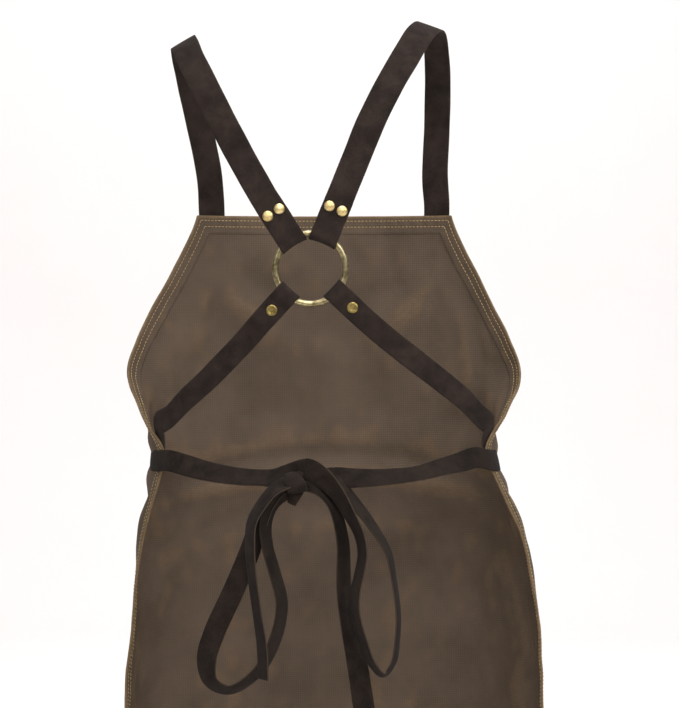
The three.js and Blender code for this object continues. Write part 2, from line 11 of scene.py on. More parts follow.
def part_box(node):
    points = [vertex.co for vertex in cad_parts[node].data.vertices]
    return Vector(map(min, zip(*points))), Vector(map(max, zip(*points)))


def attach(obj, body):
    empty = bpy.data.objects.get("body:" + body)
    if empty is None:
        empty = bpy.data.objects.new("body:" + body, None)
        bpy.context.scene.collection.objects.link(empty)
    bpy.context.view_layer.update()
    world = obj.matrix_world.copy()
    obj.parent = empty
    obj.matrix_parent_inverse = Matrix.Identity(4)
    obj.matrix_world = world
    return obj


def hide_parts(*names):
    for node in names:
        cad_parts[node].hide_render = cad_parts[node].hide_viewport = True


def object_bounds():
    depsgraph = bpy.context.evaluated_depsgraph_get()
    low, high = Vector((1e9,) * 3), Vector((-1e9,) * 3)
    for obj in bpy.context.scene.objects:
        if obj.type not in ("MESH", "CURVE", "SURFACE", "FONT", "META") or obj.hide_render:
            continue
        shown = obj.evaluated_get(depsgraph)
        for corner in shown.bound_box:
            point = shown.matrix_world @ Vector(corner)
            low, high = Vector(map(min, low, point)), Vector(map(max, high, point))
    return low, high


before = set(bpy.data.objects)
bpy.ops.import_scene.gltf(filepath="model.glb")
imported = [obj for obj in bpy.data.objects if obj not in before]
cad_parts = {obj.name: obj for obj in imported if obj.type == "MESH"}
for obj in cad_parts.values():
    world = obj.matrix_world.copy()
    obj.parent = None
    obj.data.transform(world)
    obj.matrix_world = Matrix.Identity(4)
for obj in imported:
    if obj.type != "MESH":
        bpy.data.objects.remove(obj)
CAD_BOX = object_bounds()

bl_info = {
    "name": "Canvas apron",
    "version": (1, 0, 0),
    "blender": (4, 5, 0),
    "location": "View3D > Sidebar > Apron",
    "description": "Builds a worn canvas apron with crossed back straps, a back ring and a tied bow",
    "category": "Add Mesh",
}

# One millimetre, the way that the back faces, and the gap between pieces.
MM = 0.001
OUT = np.array([0.0, -1.0, 0.0])
GAP = 0.3 * MM

# The worn form that the straps and ties lie on: level, half width, half depth, middle.
# A place comes to lie on it in some rounds of steps.
ROUNDNESS = 2.2
FORM_ROUNDS = 12
SHOULDER_BASE = -113 * MM
SHOULDER_RISE = 138 * MM
FORM = MM * np.array([
    (-113, 215, 108, 0),
    (-243, 195, 113, 2),
    (-333, 180, 116, 6),
    (-448, 180, 118, 10),
    (-713, 190, 122, 14),
])

# The worn panel's outer face: level, half width, half depth, middle, sideways shift. The armholes are cut
# along a curve down to a drop below the top, and each level is a hoop of points.
PANEL_TOP = -183 * MM
ARMHOLE_DROP = 246 * MM
ARMHOLE_CURVE = 1.2
HOOP_POINTS = 361
HANG = MM * np.array([
    (-183, 207, 115, 1, 0),
    (-335, 213, 121, 5, 0),
    (-386, 190, 123, 8, 0),
    (-429, 179, 124, 10, 0),
    (-523, 201, 130, 13, 8),
    (-600, 213, 136, 14, 11),
    (-700, 221, 142, 15, 10),
    (-1023, 233, 150, 17, 10),
])

# Folds of the skirt: place across the cloth, breadth, depth at the hem, level where they begin.
# They grow by a power of the way down and wander sideways in waves.
FOLD_GROWTH = 0.6
FOLD_WANDER = {"reach": 9 * MM, "down": 7, "across": 40}
FOLDS = MM * np.array([
    (-262, 30, -12, -470),
    (-196, 34, 13, -520),
    (-108, 40, -14, -560),
    (-22, 42, 12, -600),
    (64, 38, -13, -570),
    (146, 38, 14, -530),
    (226, 32, -11, -480),
])

# Where straps and ties pull the cloth: arc and drop of the point, then headings from it towards the
# middle and down, with length, height and spread of each ridge or hollow. They start some way from
# the point, and the two sides are turned apart by a few degrees.
DRAG_STARTS = 85 * MM
DRAG_TURN = 3
TIE_CORNER = (299 * MM, 256 * MM)
TIE_DRAG = np.array([
    (-58, 160, 4.0, 10),
    (-36, 200, -4.5, 9),
    (-15, 250, 5.0, 8),
    (5, 270, -5.0, 7),
    (24, 250, 4.0, 8),
    (46, 220, -3.5, 9),
    (68, 200, 3.5, 10),
])
BIB_CORNER = (121 * MM, 60 * MM)
BIB_DRAG = np.array([
    (18, 130, 2.4, 14),
    (52, 170, -3.0, 13),
    (84, 190, 3.4, 12),
    (112, 160, -2.6, 12),
])

# Creases across the waist: drop, bend, height, breadth. They wander in waves and fade to the sides.
CREASE_WANDER = {"reach": 6 * MM, "across": 14}
CREASE_REACH = 190 * MM
WAIST_CREASES = np.array([
    (262, 0.5, 4.5, 11),
    (287, 0.3, -4.0, 10),
    (318, 0.6, 3.5, 13),
])

# Worn cloth: size across and down, height, slice and roughness of the noise, of its dents and ridges.
DENT_SIZE = (55 * MM, 80 * MM)
DENT_HEIGHT = 2.6 * MM
DENT_SLICE = 3.1
DENT_NOISE = (0.9, 2.0, 3)
RIDGE_SIZE = (150 * MM, 260 * MM)
RIDGE_HEIGHT = 3.0 * MM
RIDGE_SLICE = 7.7
RIDGE_NOISE = (1.0, 2.0, 2, 1.0, 2.0)
RIDGE_MEAN = 0.88

# Cloth that stands out from the mean of its neighbours is rubbed pale: cells of the mean, height where
# it is rubbed in full, share of the pale colour there.
RUB_CELLS = 7
RUB_HEIGHT = 0.9 * MM
RUB_SHARE = 0.42

# Strap ends at the ring: angle clockwise from up, then sideways shift, rivet, leaving and end distances.
RING_AT = MM * np.array([-12.5, -113.0, -245.5])
LOOPS = {
    "upper_left": (-32.6, -1.0, 67.0, 86.0, 78.0),
    "upper_right": (22.0, 1.0, 65.0, 86.0, 76.0),
    "lower_left": (-137.7, 0.5, 57.0, 76.0, 67.0),
    "lower_right": (133.0, 0.0, 57.5, 76.0, 67.0),
}
LOOP_CLOSES_BEFORE_RIVET = 8 * MM
UPPER_RIVET_SPACING = 13.6 * MM

# Strap routes over the worn form, from the ring outwards: x, y, z.
SHOULDER_ROUTES = {
    "left": MM * np.array([
        (-82, -103, -134),
        (-101, -99, -98),
        (-120, -85, -60),
        (-134, -66, -33),
        (-142, -40, -14),
        (-146, -4, -8),
        (-146, 36, -18),
        (-141, 66, -46),
        (-132, 88, -92),
        (-124, 96, -140),
    ]),
    "right": MM * np.array([
        (33.5, -107, -134),
        (48, -103, -98),
        (67, -91, -60),
        (82, -76, -34),
        (97, -50, -8),
        (110, -10, 6),
        (117, 34, 0),
        (120, 68, -34),
        (121, 92, -88),
        (120, 98, -140),
    ]),
}
LOWER_ROUTES = {
    "left": MM * np.array([
        (-77.4, -101.9, -316.9),
        (-116.8, -86, -357.3),
        (-139.3, -71.1, -377.7),
        (-155.5, -55.5, -394.3),
    ]),
    "right": MM * np.array([
        (66.2, -104.4, -317),
        (118, -85.4, -357.3),
        (143, -68.1, -377.7),
        (158, -52.5, -393.3),
    ]),
}

# Sewn ends on the panel: arc from its centre line, drop from its top.
BIB_SEAM = MM * np.array([(122.5, -12), (122, 6), (121, 32), (120, 58)])
SIDE_SEAM = MM * np.array([(297, 222), (290, 236), (282, 252), (270, 268)])
TIE_SEAM = MM * np.array([(260, 258), (278, 258), (296, 258), (305, 257)])

# Waist runs of the ties over the worn form: x, y, z, tilt in degrees.
WAIST_RUNS = {
    "left": np.array([
        (-154.4, -56.8, -440.1, -8),
        (-117.4, -84.2, -449.2, -34),
        (-83.6, -97.5, -454.2, -43),
        (-58.3, -103.4, -455.1, -46),
    ]),
    "right": np.array([
        (154.7, -56.3, -436.6, 8),
        (137.8, -71.6, -441.1, 34),
        (116.0, -84.9, -446.1, 48),
        (94.5, -94.0, -451.3, 54),
        (62.2, -102.7, -454.5, 46),
        (35.0, -106.5, -455.3, 34),
    ]),
}

# Free strands of the bow: x, z, distance out behind the knot, twist in degrees, share of the full width.
KNOT_AT = MM * np.array([-17.0, -124.0, -457.0])
RUNS_IN = {
    "left": np.array([
        (-45, -454, -9, -30, 1.0),
        (-31, -450, -1, -18, 1.0),
        (-20, -446, 6, -12, 0.98),
        (-14, -444.5, 8, -8, 0.92),
    ]),
    "right": np.array([
        (12, -455, -13, 10, 1.0),
        (-4, -456, -11, 4, 0.95),
        (-17, -457, -9, 0, 0.9),
    ]),
}
LEFT_TAIL = np.array([
    (-13, -449, 4, 40, 0.5),
    (-24, -453.5, 12, 42, 0.8),
    (-36, -458.5, 15.5, 58, 1.0),
    (-49, -466, 17.5, 62, 1.0),
    (-60, -479, 18.5, 62, 1.0),
    (-70, -497, 19, 64, 1.0),
    (-72, -522, 20, 63, 1.0),
    (-70, -549, 21, 66, 1.0),
    (-65, -586, 21, 66, 1.0),
    (-60, -622, 20, 62, 1.0),
    (-59, -653, 19, 62, 1.0),
])
RIGHT_TAIL = np.array([
    (-20, -460, -1, -48, 0.9),
    (-6, -465, -3, -60, 1.0),
    (4, -473, -5, -62, 1.0),
    (11, -484, -6, -62, 1.0),
    (16, -499, -6, -60, 1.0),
    (20, -522, -5, -56, 1.0),
    (21, -567, -3, -48, 1.0),
    (27, -604, -3, -36, 1.0),
    (34, -640, -3, -22, 1.0),
    (41, -685, -3, -12, 1.0),
    (45, -710, -3, -10, 1.0),
])
LEFT_LOOP = np.array([
    (-24, -459, 0, 36, 0.9),
    (-40, -463, 0, 50, 1.0),
    (-55, -480, -1, 50, 1.0),
    (-65, -503, -2, 36, 1.0),
    (-73, -528, -3, 20, 1.0),
    (-90, -569, -4, 12, 1.0),
    (-108, -608, -4, 12, 1.0),
    (-116, -635, -4, 24, 1.0),
    (-112, -657, -3, 46, 1.0),
    (-94, -666, -3, 62, 1.0),
    (-68, -651, -5, 60, 1.0),
    (-50, -622, -4, 58, 1.0),
    (-41, -582, -2, 60, 1.0),
    (-48, -549, 1, 62, 1.0),
    (-55, -524, 3, 62, 1.0),
    (-57, -502, 5, 60, 1.0),
    (-52, -484, 6, 58, 1.0),
    (-42, -472, 6, 50, 1.0),
    (-27, -465, 3, 30, 0.9),
])
RIGHT_LOOP = np.array([
    (-12, -452, -6, -8, 0.95),
    (8, -459, -6, -36, 1.0),
    (29, -477, -4, -60, 1.0),
    (49, -502, -2, -68, 1.0),
    (65, -529, 0, -74, 1.0),
    (71, -558, 0, -78, 1.0),
    (75, -590, 0, -78, 1.0),
    (74, -616, 0, -77, 1.0),
    (70, -639, 1, -75, 1.0),
    (60, -650, 4, -74, 1.0),
    (49, -639, 8, -70, 1.0),
    (39, -614, 13, -66, 1.0),
    (32, -586, 16, -66, 1.0),
    (32.5, -566, 16, -66, 1.0),
    (36.5, -548, 14, -66, 1.0),
    (39.5, -529, 11.5, -66, 1.0),
    (36, -510, 10, -64, 1.0),
    (26, -490, 11, -58, 1.0),
    (15, -471, 13, -48, 1.0),
    (3, -457, 15, -32, 1.0),
    (-7, -449, 17.5, -16, 1.04),
    (-13.5, -445.5, 18, -10, 1.04),
    (-18, -444.5, 17, -8, 0.96),
])

# The turn of the right tie round the knot, from its top down the front and up again behind: x, z,
# distance out, share of the full width. It faces away from its middle, less so sideways.
TURN_FACING = (0.3, 1.0, 1.0)
KNOT_TURN = np.array([
    (-30.5, -451, 14, 0.7),
    (-30, -453.5, 18.5, 0.82),
    (-28.5, -457.5, 21.5, 0.9),
    (-26.5, -462, 22.5, 0.9),
    (-25, -465.5, 20, 0.9),
    (-24.5, -466.5, 14, 0.85),
    (-26, -462, 4, 0.7),
    (-28.5, -456, 0, 0.7),
    (-30.5, -451, 5, 0.65),
])

# The fold of the tie that hangs out below the turn, in the columns of the free strands.
KNOT_FOLD = np.array([
    (-25, -455, 6, 4, 0.78),
    (-26.5, -465, 11, 6, 0.8),
    (-29, -473, 11, 12, 0.62),
    (-31, -480, 8, 18, 0.36),
])

# Rivet profiles: radius, height above the strap. Then the post, and the back with its bevel.
DOMED_CAP = MM * np.array([
    (5.15, 0.0), (5.4, 0.2), (5.45, 0.5), (5.3, 0.85), (4.9, 1.35), (4.2, 1.9),
    (3.3, 2.35), (2.2, 2.68), (1.1, 2.85), (0.0, 2.9),
])
FLAT_CAP = MM * np.array([
    (5.4, 0.0), (5.65, 0.2), (5.65, 0.45), (5.45, 0.75), (5.05, 1.02), (4.5, 1.2),
    (3.9, 1.24), (3.4, 1.16), (3.0, 1.04), (1.5, 1.04), (0.0, 1.06),
])
RIVET_POST = 1.8 * MM
RIVET_BASE = (4.6 * MM, 0.9 * MM)
RIVET_BEVEL = 0.3 * MM
RIVET_EASE = 1.5 * GAP
RIVET_SIDES = 48

# Points along the ring and round its wire, stations of a strap folded round it, and the ease of the strap
# over the wire and past it.
RING_POINTS = (160, 32)
FOLD_STATIONS = {"slope": 13, "turn": 19, "leave": 9}
WIRE_EASE = 0.5 * MM
MOUTH_EASE = 1 * MM

# Points of a strip across its faces, as shares of half its width, and the share of half its thickness
# where its cut edges begin. Uneven cutting changes a strap's width in waves: share, pace, start. The window
# eases twists, widths and facings along a strip.
LANES = np.linspace(-0.96, 0.96, 11)
CUT_LEVEL = 0.45
UNEVEN_CUT = ((0.008, 0.19, 0), (0.006, 0.43, 1))
EASE_WINDOW = np.hanning(9)[1:-1]

# Distances between a strip's stations, and how far its face is crowned.
STRAP_STEP = 3 * MM
TIE_STEP = 2.5 * MM
TURN_STEP = 1.2 * MM
STRAP_CROWN = 0.25 * MM
RUN_CROWN = 0.3 * MM
STRAND_CROWN = 0.5 * MM
TURN_CROWN = 1.6 * MM

# Ease between the panel and what is sewn to it: straps on the bib and inside the side corners, ties.
BIB_EASE = 0.5 * MM
SIDE_EASE = 1.2 * MM
TIE_EASE = 0.9 * MM

# The panel's grid: distances in from its edges, ease past these borders, rows and columns between them.
# The armhole's slope fades out over a length at its foot.
BORDER = MM * np.concatenate([[0, 0.5], np.linspace(1.5, 18, 12), [18.8, 19.6]])
BORDER_EASE = 2 * MM
PANEL_ROWS, PANEL_COLUMNS = 176, 128
ARMHOLE_EASE = 30 * MM

# The turned hem: step at its inner edge, rounding and worn width of its fold, puckers, grooves of stitches.
HEM_STEP = 1.2 * MM
HEM_ROUND = 0.8 * MM
HEM_WEAR = 3.5 * MM
PUCKER = {"height": 0.35 * MM, "pitch": 13 * MM}
GROOVE = {"outer": 0.3 * MM, "inner": 0.25 * MM, "breadth": 1.2 * MM}

# Stitches: lines in from the hem's edge, measures and ends of one stitch, points along a line that is sewn,
# and how far a stitch stands off on the outer and the inner side.
STITCH_LINES = (4.5 * MM, 11.0 * MM)
STITCH = {"pitch": 4.0 * MM, "length": 3.1 * MM, "radius": 0.38 * MM, "steps": 5, "sides": 6}
STITCH_ENDS = {"thinner": 0.8, "least": 0.12, "dip": 0.9}
SEAM_POINTS = {"side": 700, "end": 400}
STITCH_RISE = 0.15 * MM
INNER_RISE = 0.1 * MM

# Boxes of stitches on the straps' ends on the bib: drops of their first and last sides, distance in from
# the strap's edges, points across.
BOX_DROPS = (24 * MM, 53 * MM)
BOX_INSET = 3.5 * MM
BOX_POINTS = 21

# The camera: its place, the height that it sees at a distance, its sensor in millimetres, how far it sees.
CAMERA_AT = (0.0165, -2.913, -0.331)
CAMERA_AWAY = 2.8
VIEW_HEIGHT = 0.708
SENSOR = 36
SEES_TO = 50

# The paper sweep: distance behind the apron, bend, how far below the hem it lies, steps of the bend.
PAPER_BACK = 5.2
PAPER_BEND = 0.9
PAPER_DROP = 0.03
PAPER_STEPS = 17

# Soft boxes: name, place, size, watts, aim. Then how bright the room is.
APRON_AIM = (0.0, 0.0, -0.42)
PAPER_AIM = (0.0, PAPER_BACK, -0.2)
SOFT_BOXES = (
    ("key_softbox", (2.1, -1.6, 1.2), 1.0, 33.0, APRON_AIM),
    ("fill_softbox", (-1.9, -2.2, 0.9), 1.6, 13.0, APRON_AIM),
    ("high_softbox", (0.25, -2.2, 0.85), 1.2, 22.0, APRON_AIM),
    ("top_softbox", (0.1, -0.6, 1.7), 1.4, 38.0, APRON_AIM),
    ("paper_wash", (0.0, 2.6, 2.6), 3.0, 95.0, PAPER_AIM),
)
ROOM_STRENGTH = 0.45

# How rough the brass is, between its dull patches and its rubbed ones.
RING_ROUGHNESS = 0.28
RIVET_ROUGHNESS = 0.4
FLAT_ROUGHNESS = 0.36

# Sockets of a node that mixes two colours.
SHARE, LOW, HIGH, MIXED = 0, 6, 7, 2


def linear(hex_colour):
    """An sRGB hex colour as linear red, green, blue and alpha."""
    channels = [int(hex_colour[k:k + 2], 16) / 255 for k in (1, 3, 5)]
    return tuple(c / 12.92 if c <= 0.04045 else ((c + 0.055) / 1.055) ** 2.4 for c in channels) + (1.0,)


def mix(low, high, share):
    return low + (high - low) * share


def smooth(share):
    held = np.clip(share, 0, 1)
    return held * held * (3 - 2 * held)


def unit(vectors):
    return vectors / np.linalg.norm(vectors, axis=-1, keepdims=True)


def rounded(values):
    return np.sign(values) * np.abs(values) ** (2 / ROUNDNESS)


def bell(values):
    return np.exp(-values ** 2)


def run_along(places):
    """Distance from the first place to each one, along the line through them."""
    return np.concatenate([[0], np.cumsum(np.linalg.norm(np.diff(places, axis=0), axis=1))])


def columns_at(at, run, columns):
    """The columns of a table with rows at distances along a run, read at other distances."""
    return np.stack([np.interp(at, run, column) for column in columns.T], -1)


def column_at(rows, column, level):
    """One column of a table of levels, smooth between its rows and level beyond its ends."""
    level = np.clip(np.asarray(level, float), rows[-1, 0], rows[0, 0])
    upper = np.clip(np.searchsorted(-rows[:, 0], -level, side="right") - 1, 0, len(rows) - 2)
    slopes = np.zeros(len(rows))
    slopes[1:-1] = (rows[2:, column] - rows[:-2, column]) / (rows[2:, 0] - rows[:-2, 0])
    span = rows[upper + 1, 0] - rows[upper, 0]
    t = (level - rows[upper, 0]) / span
    values = mix(rows[upper, column], rows[upper + 1, column], smooth(t))
    return values + span * t * (1 - t) * ((1 - t) * slopes[upper] - t * slopes[upper + 1])


def form_value(spots):
    """Zero on the worn form, and more outside it."""
    level = spots[..., 2]
    across = np.abs(spots[..., 0] / column_at(FORM, 1, level))
    deep = np.abs((spots[..., 1] - column_at(FORM, 3, level)) / column_at(FORM, 2, level))
    high = np.maximum(0, level - SHOULDER_BASE) / SHOULDER_RISE
    return across ** ROUNDNESS + deep ** ROUNDNESS + high ** 2 - 1


def form_slope(spots):
    sides = [(form_value(spots + MM * axis) - form_value(spots - MM * axis)) for axis in np.eye(3)]
    return np.stack(sides, -1) / (2 * MM)


def on_form(spots, lift):
    """The nearest places on the worn form, lifted off it, with the way that they face."""
    places = np.array(spots, float)
    for _ in range(FORM_ROUNDS):
        slope = form_slope(places)
        places -= slope * (form_value(places) / (slope ** 2).sum(-1))[..., None]
    faces = unit(form_slope(places))
    return places + lift * faces, faces


def panel_half(size, drop):
    """Half the flat width of the panel at a drop below its top edge."""
    share = np.clip(drop / ARMHOLE_DROP, 0, 1) ** ARMHOLE_CURVE
    return mix(size.bib_width, size.width, share) / 2


def edge_stretch(size, drop):
    """How much longer a step in from the side edge is along the arc than square to the edge."""
    slope = (panel_half(size, drop + MM) - panel_half(size, drop - MM)) / (2 * MM)
    easing = 1 - smooth((drop - ARMHOLE_DROP + ARMHOLE_EASE) / ARMHOLE_EASE)
    return np.sqrt(1 + (slope * easing) ** 2)


def hoop(arcs, drops):
    """Places at arc lengths from the panel's centre line, on the smooth hoop of each level."""
    arcs, drops = np.broadcast_arrays(np.asarray(arcs, float), np.asarray(drops, float))
    turn = np.radians(np.linspace(0, 180, HOOP_POINTS))
    places = np.empty(arcs.shape + (3,))
    for drop in np.unique(drops):
        level = PANEL_TOP - drop
        half_width, half_depth, middle, shift = (column_at(HANG, k, level) for k in (1, 2, 3, 4))
        x = half_width * rounded(np.sin(turn))
        y = half_depth * rounded(np.cos(turn))
        run = run_along(np.stack([x, y], -1))
        here = drops == drop
        reach = np.abs(arcs[here])
        places[here, 0] = np.sign(arcs[here]) * np.interp(reach, run, x) + shift
        places[here, 1] = middle + np.interp(reach, run, y)
        places[here, 2] = level
    return places


def drag_lines(arcs, drops, centre, rays):
    """Ridges and hollows that run out from a point where the cloth is pulled, on both sides."""
    depth = np.zeros(np.broadcast(arcs, drops).shape)
    for side in (-1, 1):
        inward = centre[0] - side * arcs
        down = drops - centre[1]
        reach = np.hypot(inward, down)
        angle = np.degrees(np.arctan2(down, inward))
        for heading, length, height, spread in rays:
            run = smooth(reach / DRAG_STARTS) * bell(reach / (MM * length))
            depth += MM * height * run * bell((angle - heading - DRAG_TURN * side) / spread)
    return depth


def crumple(arcs, drops):
    """Soft dents and long shallow ridges of cloth that has been worn and folded."""
    arcs, drops = np.broadcast_arrays(arcs, drops)
    heights = []
    for arc, drop in zip(arcs.ravel(), drops.ravel()):
        at = Vector((arc / DENT_SIZE[0], drop / DENT_SIZE[1], DENT_SLICE))
        dent = noise.fractal(at, *DENT_NOISE)
        at = Vector((arc / RIDGE_SIZE[0], drop / RIDGE_SIZE[1], RIDGE_SLICE))
        ridge = noise.ridged_multi_fractal(at, *RIDGE_NOISE)
        heights.append(DENT_HEIGHT * dent + RIDGE_HEIGHT * (ridge - RIDGE_MEAN))
    return np.array(heights).reshape(arcs.shape)


def fold_depth(arcs, drops):
    """How far the cloth stands out from its smooth hoop: folds, drag lines, creases and dents."""
    level = PANEL_TOP - drops
    hem_level = CAD_BOX[0].z
    depth = np.zeros(np.broadcast(arcs, drops).shape)
    for across, breadth, deep, begin in FOLDS:
        grown = np.clip((begin - level) / (begin - hem_level), 0, 1) ** FOLD_GROWTH
        wander = FOLD_WANDER["reach"] * np.sin(FOLD_WANDER["down"] * drops + FOLD_WANDER["across"] * across)
        depth += deep * smooth(grown) * bell((arcs - across - wander) / breadth)
    depth += drag_lines(arcs, drops, TIE_CORNER, TIE_DRAG) + drag_lines(arcs, drops, BIB_CORNER, BIB_DRAG)
    for drop, bend, height, breadth in WAIST_CREASES:
        wander = CREASE_WANDER["reach"] * np.sin(CREASE_WANDER["across"] * arcs + drop)
        along = drops - MM * drop - bend * arcs ** 2 - wander
        depth += MM * height * bell(along / (MM * breadth)) * bell((arcs / CREASE_REACH) ** 2)
    return depth + crumple(arcs, drops)


def rubbed(depth):
    """Where a grid of cloth stands out from its surroundings and is rubbed pale, from none to full."""
    level = depth
    window = np.ones(RUB_CELLS) / RUB_CELLS
    for axis in (0, 1):
        margins = [(0, 0), (0, 0)]
        margins[axis] = (RUB_CELLS // 2, RUB_CELLS // 2)
        padded = np.pad(level, margins, mode="edge")
        level = np.apply_along_axis(np.convolve, axis, padded, window, "valid")
    return RUB_SHARE * smooth((depth - level) / RUB_HEIGHT)


def on_panel(arcs, drops, lift):
    """Places on the panel's outer face, lifted off it, with the way that they face."""
    arcs, drops = np.broadcast_arrays(np.asarray(arcs, float), np.asarray(drops, float))
    across = hoop(arcs + MM, drops) - hoop(arcs - MM, drops)
    down = hoop(arcs, drops + MM) - hoop(arcs, drops - MM)
    faces = unit(np.cross(across, down))
    return hoop(arcs, drops) + (fold_depth(arcs, drops) + lift)[..., None] * faces, faces


def through(spots, extras, spacing):
    """Closely spaced places on a smooth curve through spots, with their extra columns eased between."""
    ends = np.vstack([2 * spots[0] - spots[1], spots, 2 * spots[-1] - spots[-2]])
    places, shares = [], []
    for k in range(len(spots) - 1):
        p0, p1, p2, p3 = ends[k:k + 4]
        d0, d1, d2 = (math.sqrt(np.linalg.norm(b - a)) for a, b in ((p0, p1), (p1, p2), (p2, p3)))
        leave = d1 * ((p1 - p0) / d0 - (p2 - p0) / (d0 + d1) + (p2 - p1) / d1)
        reach = d1 * ((p2 - p1) / d1 - (p3 - p1) / (d1 + d2) + (p3 - p2) / d2)
        count = max(3, round(np.linalg.norm(p2 - p1) / spacing))
        t = (np.arange(count + (k == len(spots) - 2)) / count)[:, None]
        places.append(p1 + t * leave + t * t * (3 * (p2 - p1) - 2 * leave - reach)
                      + t ** 3 * (2 * (p1 - p2) + leave + reach))
        shares.append(k + t[:, 0])
    eased = columns_at(np.concatenate(shares), np.arange(len(spots)), extras)
    margin = len(EASE_WINDOW) // 2
    padded = np.pad(eased, ((margin, margin), (0, 0)), mode="edge")
    weights = EASE_WINDOW / EASE_WINDOW.sum()
    return np.vstack(places), np.stack([np.convolve(column, weights, "valid") for column in padded.T], -1)


def grid_quads(rows, columns, loop_rows=False, loop_columns=False):
    """Quads between the points of a grid, which may close on itself either way."""
    k = np.arange(rows if loop_rows else rows - 1)[:, None]
    j = np.arange(columns if loop_columns else columns - 1)[None, :]
    here, after = k * columns, (k + 1) % rows * columns
    beside = (j + 1) % columns
    return np.stack([here + j, here + beside, after + beside, after + j], -1).reshape(-1, 4)


def strip(places, faces, twist, width, thickness, crown, bow=None, bow_axis=None, closed=False):
    """A flat strap through stations: vertices, quads, flat coordinates, marks on its cut edges, length."""
    count = len(places)
    if closed:
        along = unit(np.roll(places, -1, 0) - np.roll(places, 1, 0))
    else:
        along = unit(np.gradient(places, axis=0))
    flat_side = unit(np.cross(along, faces))
    flat_face = np.cross(flat_side, along)
    turn = np.radians(np.broadcast_to(twist, count))[:, None]
    face = flat_face * np.cos(turn) + flat_side * np.sin(turn)
    side = np.cross(along, face)
    shares = np.concatenate([[-1], LANES, [1, 1], LANES[::-1], [-1]])
    upper = np.concatenate([[CUT_LEVEL], np.ones(len(LANES)), [CUT_LEVEL]])
    levels = np.concatenate([upper, -upper])
    cut = (np.abs(levels) < 1).astype(float)
    width = np.broadcast_to(width, count)
    ring = len(shares)
    points = (places[:, None]
              + side[:, None] * (shares[None, :, None] * width[:, None, None] / 2)
              + face[:, None] * (levels * thickness / 2 + crown * (1 - shares ** 2))[None, :, None])
    if bow is not None:
        points = points + bow_axis * (bow[:, None] * (1 - shares ** 2)[None, :])[..., None]
    run = run_along(places)
    flat = np.stack([shares[None, :] * width[:, None] / 2, np.repeat(run[:, None], ring, 1)], -1)
    quads = grid_quads(count, ring, closed, True)
    if not closed:
        i = np.arange(ring // 2 - 1)
        cap = np.stack([i, i + 1, ring - 2 - i, ring - 1 - i], -1)
        quads = np.vstack([quads, cap[:, ::-1], cap + (count - 1) * ring])
    return points.reshape(-1, 3), quads, flat.reshape(-1, 2), np.tile(cut, count), run[-1]


def join(strips):
    """Several strips as one, with the sum of their lengths."""
    points, quads, flat, marks, lengths = zip(*strips)
    starts = np.cumsum([0] + [len(part) for part in points[:-1]])
    quads = [part + start for part, start in zip(quads, starts)]
    return np.vstack(points), np.vstack(quads), np.vstack(flat), np.concatenate(marks), sum(lengths)


def make_piece(name, points, polygons, material, node=None, flat=None, marks=None):
    """A smooth piece that moves with the apron, with flat coordinates and marks where its edges wear."""
    mesh = bpy.data.meshes.new(name)
    mesh.from_pydata(points.tolist(), [], [list(map(int, p)) for p in polygons])
    mesh.validate()
    if flat is not None:
        corners = np.empty(len(mesh.loops), np.int32)
        mesh.loops.foreach_get("vertex_index", corners)
        mesh.uv_layers.new(name="flat").data.foreach_set("uv", flat[corners].astype(np.float32).ravel())
    if marks is not None:
        wear = mesh.attributes.new("edge_wear", "FLOAT", "POINT")
        wear.data.foreach_set("value", marks.astype(np.float32))
    mesh.shade_smooth()
    mesh.materials.append(material)
    piece = bpy.data.objects.new(name, mesh)
    bpy.context.scene.collection.objects.link(piece)
    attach(piece, "root")
    if node:
        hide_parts(node)
    return piece


def add_node(tree, kind, inputs=None, take=0, **settings):
    """One node with its settings and its inputs set or linked, given back as one of its outputs."""
    made = tree.nodes.new(kind)
    for key, value in settings.items():
        setattr(made, key, value)
    for key, value in (inputs or {}).items():
        if isinstance(value, bpy.types.NodeSocket):
            tree.links.new(value, made.inputs[key])
        else:
            made.inputs[key].default_value = value
    return made.outputs[take]


def new_material(name, recipe, *values):
    """A material whose surface is what a recipe adds to its node tree."""
    material = bpy.data.materials.new(name)
    material.use_nodes = True
    tree = material.node_tree
    tree.nodes.clear()
    output = tree.nodes.new("ShaderNodeOutputMaterial")
    tree.links.new(recipe(partial(add_node, tree), *values), output.inputs["Surface"])
    return material


def clouded(add, pattern, start, end, dark, pale):
    """Soft clouds, and a colour that goes from dark to pale through them."""
    clouds = add("ShaderNodeTexNoise", pattern, "Fac")
    share = add("ShaderNodeMapRange", {"Value": clouds, "From Min": start, "From Max": end})
    return clouds, add("ShaderNodeMix", {SHARE: share, LOW: dark, HIGH: pale}, MIXED, data_type="RGBA")


